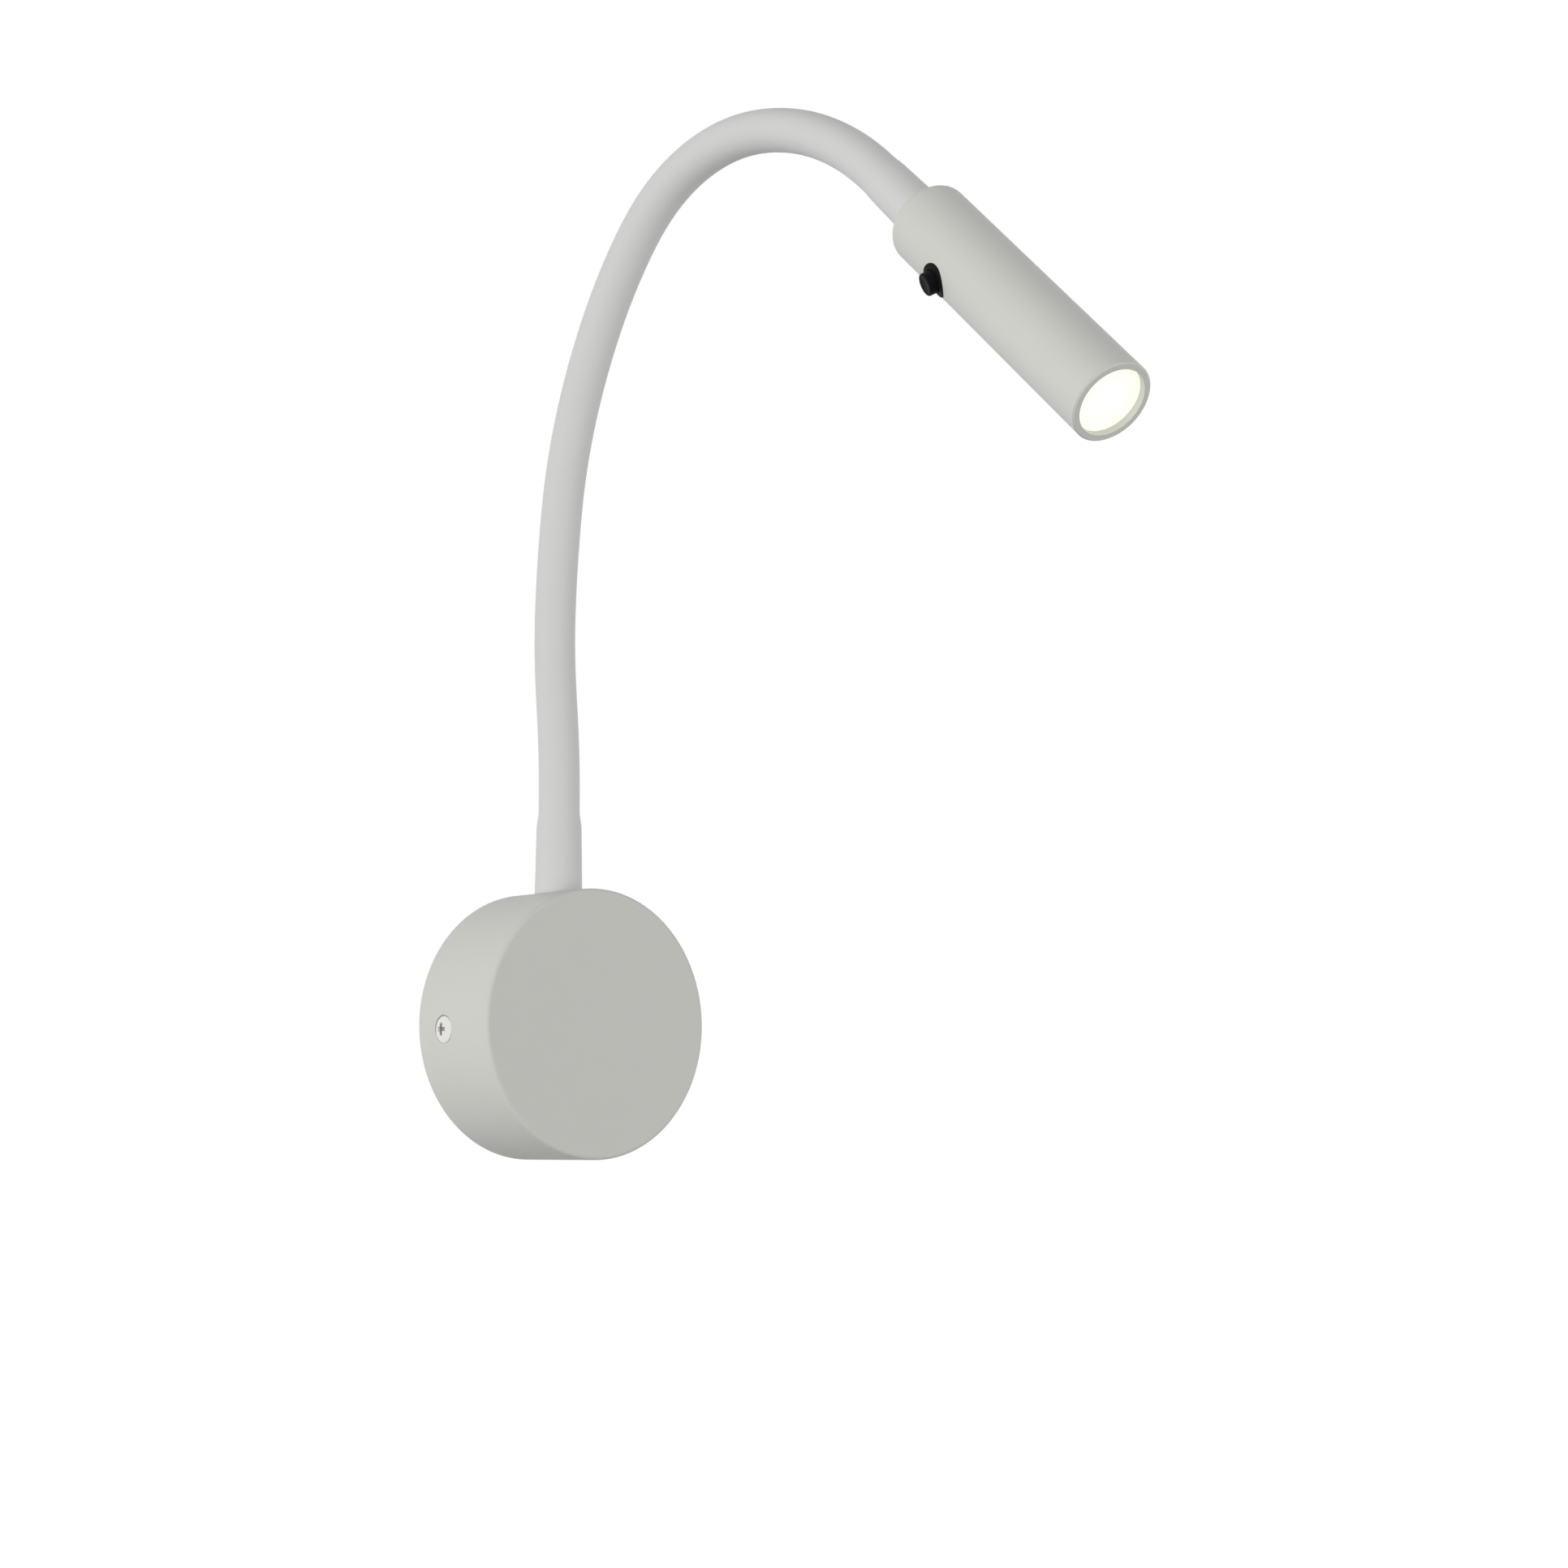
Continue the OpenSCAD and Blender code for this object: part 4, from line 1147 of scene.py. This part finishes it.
@dataclass
class Head(SubAssembly):
    """Tube of the head, its fittings, its light source and its wires.

    Attributes:
        place: The head's frame, whose Z axis runs along it from its rear.
        tilt: Direction of the head, in degrees from upright.
        turn: The same frame, turned so that its X axis points at the switch.
        lead_end: Distance from the head's rear to where the wires leave the lead.
        switch_at: Distance from the rear to the switch.
        tab: Place of the wires at the switch's tabs, across the head.
        tab_side: Distance of a tab's wire from the switch's middle, along the head.
        groove: Place of the wires in the heat sink's groove, across the head.
        sink_back: Distance from the rear to the heat sink.
        board_back: Distance from the rear to the board.
    """

    place: Matrix
    tilt: float
    turn: Matrix
    wire_r: float = 0.7
    wire_steps: int = 8
    wire_columns: int = 20
    lead_end: float = 12.05
    switch_at: float = 23.8
    tab: float = -6.5
    tab_side: float = 3.15
    groove: float = -8.3
    sink_back: float = 53.5
    board_back: float = 75.5

    def routes(self) -> dict[str, list[Point]]:
        """Gives the wires' listed routes, as across, sideways and along the head.

        Returns:
            The points of each wire.
        """
        foot, stub, at = self.lead_end, self.lead_end + self.wire_r, self.switch_at
        tab, low, high = self.tab, at - self.tab_side, at + self.tab_side
        groove, sink, board = self.groove, self.sink_back, self.board_back
        return {
            "core_to_tab": [
                (-1.0, 0.0, foot), (-1.0, 0.0, stub), (-2.2, 0.0, foot + 1.6), (-5.2, 0.0, at - 6),
                (tab, 0.0, at - 4.6), (tab, 0.0, low),
            ],
            "tab_to_board": [
                (tab, 0.0, high), (tab, 0.0, high + self.wire_r), (tab - 0.6, 0.0, at + 7),
                (groove, -1.2, sink - 6), (groove, -1.2, sink), (groove, -1.2, board),
            ],
            "core_to_board": [
                (0.9, 0.6, foot), (0.9, 0.6, stub), (0.6, 2.4, foot + 1.8), (-0.6, 5.8, at - 4),
                (-1.4, 6.6, at), (-3.4, 5.8, at + 8),
                (groove, 1.4, sink - 6), (groove, 1.4, sink), (groove, 1.4, board),
            ],
        }

    def build(self) -> None:
        """Draws the three wires between the lead, the switch and the board."""
        for name, points in self.routes().items():
            skin = tube(wire_route(points, self.wire_steps), self.wire_r, self.wire_columns)
            wire = make_piece(f"wire_{name}", [Grid(moved(skin, self.turn))])
            self.keep(wire, "wire_jacket", "head_wires", "head")

    def dress(self) -> None:
        """Paints the tube, lights the lens and finishes what is behind it."""
        axis = Axis(tuple(self.place.translation), self.tilt)
        self.wear({
            BROWN_JACKET: ["wire_core_to_tab", "wire_tab_to_board"],
            BLUE_JACKET: ["wire_core_to_board"],
            Finish("head_paint", PAINT, 0.55, swing=0.012, depth=0.006, grain=0.5, specular=0.3,
                   axis=axis): ["head_housing"],
            Finish("head_nickel", NICKEL, 0.3, metallic=1.0, swing=0.04, grain=0.25, axis=axis,
                   pattern=Pattern.RINGS): ["upper_ferrule", "head_nut", "head_washer", "board_screws"],
            Finish("turned_aluminium", (0.82, 0.83, 0.84), 0.3, metallic=1.0, swing=0.05, depth=0.01,
                   grain=0.3, axis=axis, pattern=Pattern.RINGS): ["heat_sink"],
            Finish("board_mask", (0.86, 0.86, 0.83), 0.3, cloud=3.0, axis=axis): ["led_board"],
            Finish("chip_phosphor", (0.85, 0.62, 0.12), 0.35, swing=0.08, cloud=0.6,
                   axis=axis): ["led_chip"],
            Finish("holder_plastic", (0.88, 0.88, 0.86), 0.45, axis=axis): ["lens_holder"],
            LitFinish("lens_lit", (0.4, 0.39, 0.35), 0.35, depth=0.01, grain=0.6, axis=axis): ["lens"],
        })


@dataclass
class PushSwitch(SubAssembly):
    """Black push switch on the side of the head.

    Heights are counted from the head's axis.

    Attributes:
        place: The switch's frame, whose Z axis points out of the head and whose X axis lies along it.
        gap: Play between neighbouring pieces.
        rise: Height of the bezel above the head.
        edge: Rounding of the bezel's and the case's edges.
        lip: Thickness of the bezel over the well that the spring and the button's collar are in.
        bushing: Distance of the thread's end below the bezel's face.
        case: Distance of the case's foot below the bezel's face.
        pitch: Rise of the thread in one turn.
        cut: Depth of the thread.
        button_rise: Height of the button above the bezel.
        button_edge: Rounding of the button's edge.
        dish: Depth of the dish in the button's top.
        spring_wire: Radius of the spring's wire.
        travel: How far the button goes in. Not used.
    """

    place: Matrix
    head_r: float = 11.5
    gap: float = 0.05
    bezel_r: float = 4.85
    rise: float = 0.4
    edge: float = 0.3
    lip: float = 1.2
    well_r: float = 3.5
    bushing_r: float = 4.0
    bushing: float = 8.0
    case_r: float = 3.8
    case: float = 17.0
    pitch: float = 0.75
    cut: float = 0.25
    thread_steps: int = 6
    button_r: float = 3.15
    button_rise: float = 2.4
    button_edge: float = 0.45
    collar_r: float = 3.4
    collar_t: float = 1.0
    dish: float = 0.3
    dish_rows: int = 10
    spring_r: float = 2.3
    spring_wire: float = 0.25
    spring_len: float = 7.0
    spring_turns: int = 6
    spring_steps: int = 40
    wire_columns: int = 14
    travel: float = 1.2
    columns: int = 72

    @property
    def top(self) -> float:
        """Height of the bezel's face."""
        return self.head_r + self.rise

    @property
    def collar_low(self) -> float:
        """Height of the underside of the button's collar, which the bezel's lip keeps in."""
        return self.top - self.lip - self.gap - self.collar_t

    @property
    def spring_low(self) -> float:
        """Height of the well's floor, which the spring stands on."""
        return self.collar_low - self.spring_len

    def body_rows(self) -> tuple[np.ndarray, np.ndarray]:
        """Lists the body's profile from the well's floor, over the bezel and down the thread to its foot.

        Returns:
            Rows of radius and height, and for each row whether it hugs the head's round side.
        """
        top, low = self.top, self.head_r + self.gap
        inner, small = self.button_r + 2 * self.gap, self.edge / 2
        well = [(0.0, self.spring_low), (self.well_r, self.spring_low), (self.well_r, top - self.lip),
                (inner, top - self.lip)]
        bezel = np.vstack([
            arc((inner + small, top - small), small, 180.0, 90.0),
            arc((self.bezel_r - self.edge, top - self.edge), self.edge, 90.0, 0.0),
            [(self.bezel_r, low), (self.bushing_r, low)],
        ])
        foot, base = top - self.bushing, top - self.case
        rows = int(self.thread_steps * (self.bushing - self.lip) / self.pitch)
        thread = np.linspace((self.bushing_r, top - self.lip), (self.bushing_r, foot), rows)
        case = np.vstack([
            [(self.case_r, foot)],
            arc((self.case_r - self.edge, base + self.edge), self.edge, 0.0, -90.0),
            [(0.0, base)],
        ])
        hug = np.repeat([0.0, 1.0, 0.0], [len(well), len(bezel), len(thread) + len(case)])
        return np.vstack([well, bezel, thread, case]), hug

    def build_body(self) -> None:
        """Turns the profile round the switch, and lays the bezel's rows on the head's round side.

        A hugging row of height q lies on the cylinder of radius q about the head's axis, at
        z = sqrt(q^2 - y^2). The thread cuts into the bushing by cut |2 (z / pitch - a / 2 pi mod 1) - 1|.
        """
        rows, hug = self.body_rows()
        a = ring_angles(self.columns)
        points = revolve(rows, self.columns)
        y, q = points[..., 1], points[..., 2]
        points[..., 2] += hug[:, None] * (np.sqrt(np.maximum(q**2 - y**2, 0.0)) - q)
        threaded = (rows[:, 0] == self.bushing_r) & (hug == 0.0)
        threaded[np.flatnonzero(threaded)[[0, -1]]] = False
        wave = thread_wave(rows[:, 1:] / self.pitch - a / (2 * np.pi))
        shrink = 1 - threaded[:, None] * self.cut * wave / self.bushing_r
        points[..., :2] *= shrink[..., None]
        body = make_piece("switch_moulding", [Grid(moved(points, self.place))])
        self.keep(body, "switch_black", "switch_body", "head")

    def build_button(self) -> None:
        """Turns the button with a rounded edge and a dish of z = top - dish (1 - (r / R)^2)."""
        top, round_r = self.top + self.button_rise, self.button_r - self.button_edge
        r = np.linspace(round_r, 0.0, self.dish_rows)[1:]
        dish = np.column_stack([r, top - self.dish * (1 - (r / round_r) ** 2)])
        low, high = self.collar_low, self.collar_low + self.collar_t
        profile = np.vstack([
            [(0.0, low), (self.collar_r, low), (self.collar_r, high), (self.button_r, high)],
            arc((round_r, top - self.button_edge), self.button_edge, 0.0, 90.0),
            dish,
        ])
        button = make_piece("push_button", [Grid(moved(revolve(profile, self.columns), self.place))])
        self.keep(button, "button_black", "switch_button", "button")

    def build_spring(self) -> None:
        """Winds the return spring, its first and last turns lying flat on one another.

        Its wire's middle is at R (cos a, sin a) and rises by one wire in each end turn, and evenly between.
        """
        wire, turns = self.spring_wire, self.spring_turns
        low, rise = self.spring_low + self.gap + wire, self.spring_len - 2 * wire - 2 * self.gap
        turn = np.linspace(0.0, turns, turns * self.spring_steps + 1)
        knots = [0.0, 1.0, turns - 1.0, float(turns)]
        height = low + np.interp(turn, knots, [0.0, 2 * wire, rise - 2 * wire, rise])
        a, b = 2 * np.pi * turn[:, None], ring_angles(self.wire_columns)
        away = self.spring_r + wire * np.cos(b)
        coil = np.stack([away * np.cos(a), away * np.sin(a), height[:, None] + wire * np.sin(b)], axis=-1)
        spring = make_piece("return_spring", [Grid(moved(capped(coil), self.place))])
        self.keep(spring, "spring_steel", "switch_spring", "head")
        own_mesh(spring)

    def build(self) -> None:
        """Builds the moulded body, the button and the spring."""
        self.build_body()
        self.build_button()
        self.build_spring()

    def dress(self) -> None:
        """Gives the mouldings their black grain and the metal its shine."""
        self.wear({
            Finish("switch_moulding", BLACK, 0.6, swing=0.2, cloud=2.0, depth=0.01, grain=0.16,
                   specular=0.08): ["switch_moulding"],
            Finish("button_moulding", BLACK, 0.5, swing=0.2, cloud=2.0, depth=0.006, grain=0.2,
                   specular=0.05): ["push_button"],
            Finish("spring_steel", (0.6, 0.61, 0.63), 0.28, metallic=1.0, swing=0.08,
                   cloud=1.0): ["return_spring"],
            Finish("black_nickel", (0.1, 0.1, 0.105), 0.35, metallic=1.0, swing=0.1,
                   cloud=2.0): ["switch_nut"],
            Finish("tinned_tab", (0.8, 0.78, 0.72), 0.34, metallic=1.0, swing=0.08,
                   cloud=1.5): ["switch_terminals"],
        })


@dataclass(frozen=True)
class Softbox:
    """A square soft light that looks at the object.

    Attributes:
        name: Name of the light.
        azimuth: Direction it stands in, counted as the camera's.
        elevation: Its height above the horizon, in degrees.
        power: Its power in watts.
        distance: Its distance from the object, in metres.
        size: Its width in metres.
    """

    name: str
    azimuth: float
    elevation: float
    power: float
    distance: float = 1.6
    size: float = 1.4


@dataclass
class Studio:
    """Camera, lights, world and floor.

    Attributes:
        azimuth: Direction of the camera, 0 looks along +Y.
        elevation: Height of the camera above the horizon, in degrees.
        eye: Place of the camera, in millimetres.
        focal: Focal length in pixels of the photograph.
        frame_px: Width of the photograph in pixels.
        sensor: Width of the camera's sensor, in millimetres.
        clip: Nearest and farthest distances that the camera sees, in metres.
        aim: Point that the lights look at, in millimetres.
        ambient: Strength of the world's light on the object.
        floor_z: Height of the floor.
        floor_swing: Share by which its colour swings, in clouds of floor_cloud.
        floor_lift: Light that it adds where it is seen directly, so that it runs into the white.
        boxes: The soft lights.
    """

    azimuth: float = -40.55
    elevation: float = -6.75
    eye: Point = (-542.2, -752.6, -35.1)
    focal: float = 3740.6
    frame_px: float = 1932.0
    sensor: float = 36.0
    clip: tuple[float, float] = (0.01, 50.0)
    aim: Point = (0.0, -100.0, 110.0)
    ambient: float = 0.285
    floor_z: float = -250.0
    floor_r: float = 600.0
    floor_columns: int = 96
    floor_color: Rgb = (0.5, 0.5, 0.5)
    floor_swing: float = 0.01
    floor_cloud: float = 300.0
    floor_roughness: float = 0.9
    floor_lift: float = 0.66
    boxes: tuple[Softbox, ...] = (
        Softbox("key", -80.0, 0.0, 22.3),
        Softbox("fill", 40.0, 0.0, 14.2),
        Softbox("backdrop", 170.0, 20.0, 7.5),
    )

    @staticmethod
    def direction(azimuth: float, elevation: float) -> Vector:
        """Gives the unit vector towards a light or the camera, from its angles in degrees."""
        a, e = math.radians(azimuth), math.radians(elevation)
        return Vector((math.sin(a) * math.cos(e), -math.cos(a) * math.cos(e), math.sin(e)))

    def set_camera(self) -> None:
        """Sets the camera where the photograph was taken from."""
        lens = bpy.data.cameras.new("photo_camera")
        lens.sensor_width = self.sensor
        lens.lens = self.focal / self.frame_px * self.sensor
        lens.clip_start, lens.clip_end = self.clip
        camera = bpy.data.objects.new("photo_camera", lens)
        camera.location = [v * MM for v in self.eye]
        back = self.direction(self.azimuth, self.elevation)
        camera.rotation_euler = (-back).to_track_quat("-Z", "Y").to_euler()
        bpy.context.scene.collection.objects.link(camera)
        bpy.context.scene.camera = camera

    def set_lights(self) -> None:
        """Hangs the soft lights round the object, where glossy surfaces mirror the white room instead."""
        aim = Vector(self.aim) * MM
        for box in self.boxes:
            data = bpy.data.lights.new(box.name, "AREA")
            data.size, data.energy = box.size, box.power
            lamp = bpy.data.objects.new(box.name, data)
            out = self.direction(box.azimuth, box.elevation)
            lamp.location = aim + box.distance * out
            lamp.rotation_euler = out.to_track_quat("Z", "Y").to_euler()
            lamp.visible_glossy = False
            bpy.context.scene.collection.objects.link(lamp)

    def set_world(self) -> None:
        """Makes the world a plain soft light that is seen as white."""
        world = bpy.data.worlds.new("studio_world")
        bpy.context.scene.world = world
        graph = Graph(world)
        strength = graph.ramp(graph.seen_directly(), self.ambient, 1.0)
        graph.feed(graph.tree.nodes["Background"], {"Color": WHITE, "Strength": strength})

    def set_floor(self) -> None:
        """Lays a round pale floor under the object, which keeps its shadow and runs into the white."""
        rim = np.array([(0.0, self.floor_z), (self.floor_r, self.floor_z)])
        floor = make_piece("floor", [Grid(revolve(rim, self.floor_columns))])
        recipe = Recipe("floor_paint")
        clouds = recipe.noise(recipe.place(Place.SOLID, Axis()), self.floor_cloud)
        recipe.surface(
            Base_Color=recipe.tint(self.floor_color, self.floor_swing, clouds),
            Roughness=self.floor_roughness,
            Specular_IOR_Level=0.0,
            Emission_Color=WHITE,
            Emission_Strength=recipe.ramp(recipe.seen_directly(), 0.0, self.floor_lift),
        )
        dress(floor, recipe.material)

    def build(self) -> None:
        """Sets up the whole studio."""
        bpy.context.scene.view_settings.view_transform = "Standard"
        self.set_camera()
        self.set_lights()
        self.set_world()
        self.set_floor()


def main() -> None:
    """Builds the studio and the sub-assemblies in order, and reports each piece."""
    logging.basicConfig(level=logging.INFO, format="%(message)s")
    Studio().build()
    line = NeckLine.from_joints(frame["joints"])
    neck = Neck(line)
    place = line.head_frame(neck.tip)
    turn = place @ Matrix.Rotation(math.radians(SWITCH_TURN), 4, "Z")
    head = Head(place, float(line.headings[-1]), turn)
    out = Matrix.Translation((0.0, 0.0, head.switch_at)) @ Matrix.Rotation(QUARTER_TURN, 4, "Y")
    for part in (WallBase(), neck, head, PushSwitch(turn @ out)):
        part.build()
        part.dress()
        for piece in part.pieces:
            LOG.info("%s: %d faces", piece.name, len(piece.data.polygons))


if __name__ == "__main__":
    main()
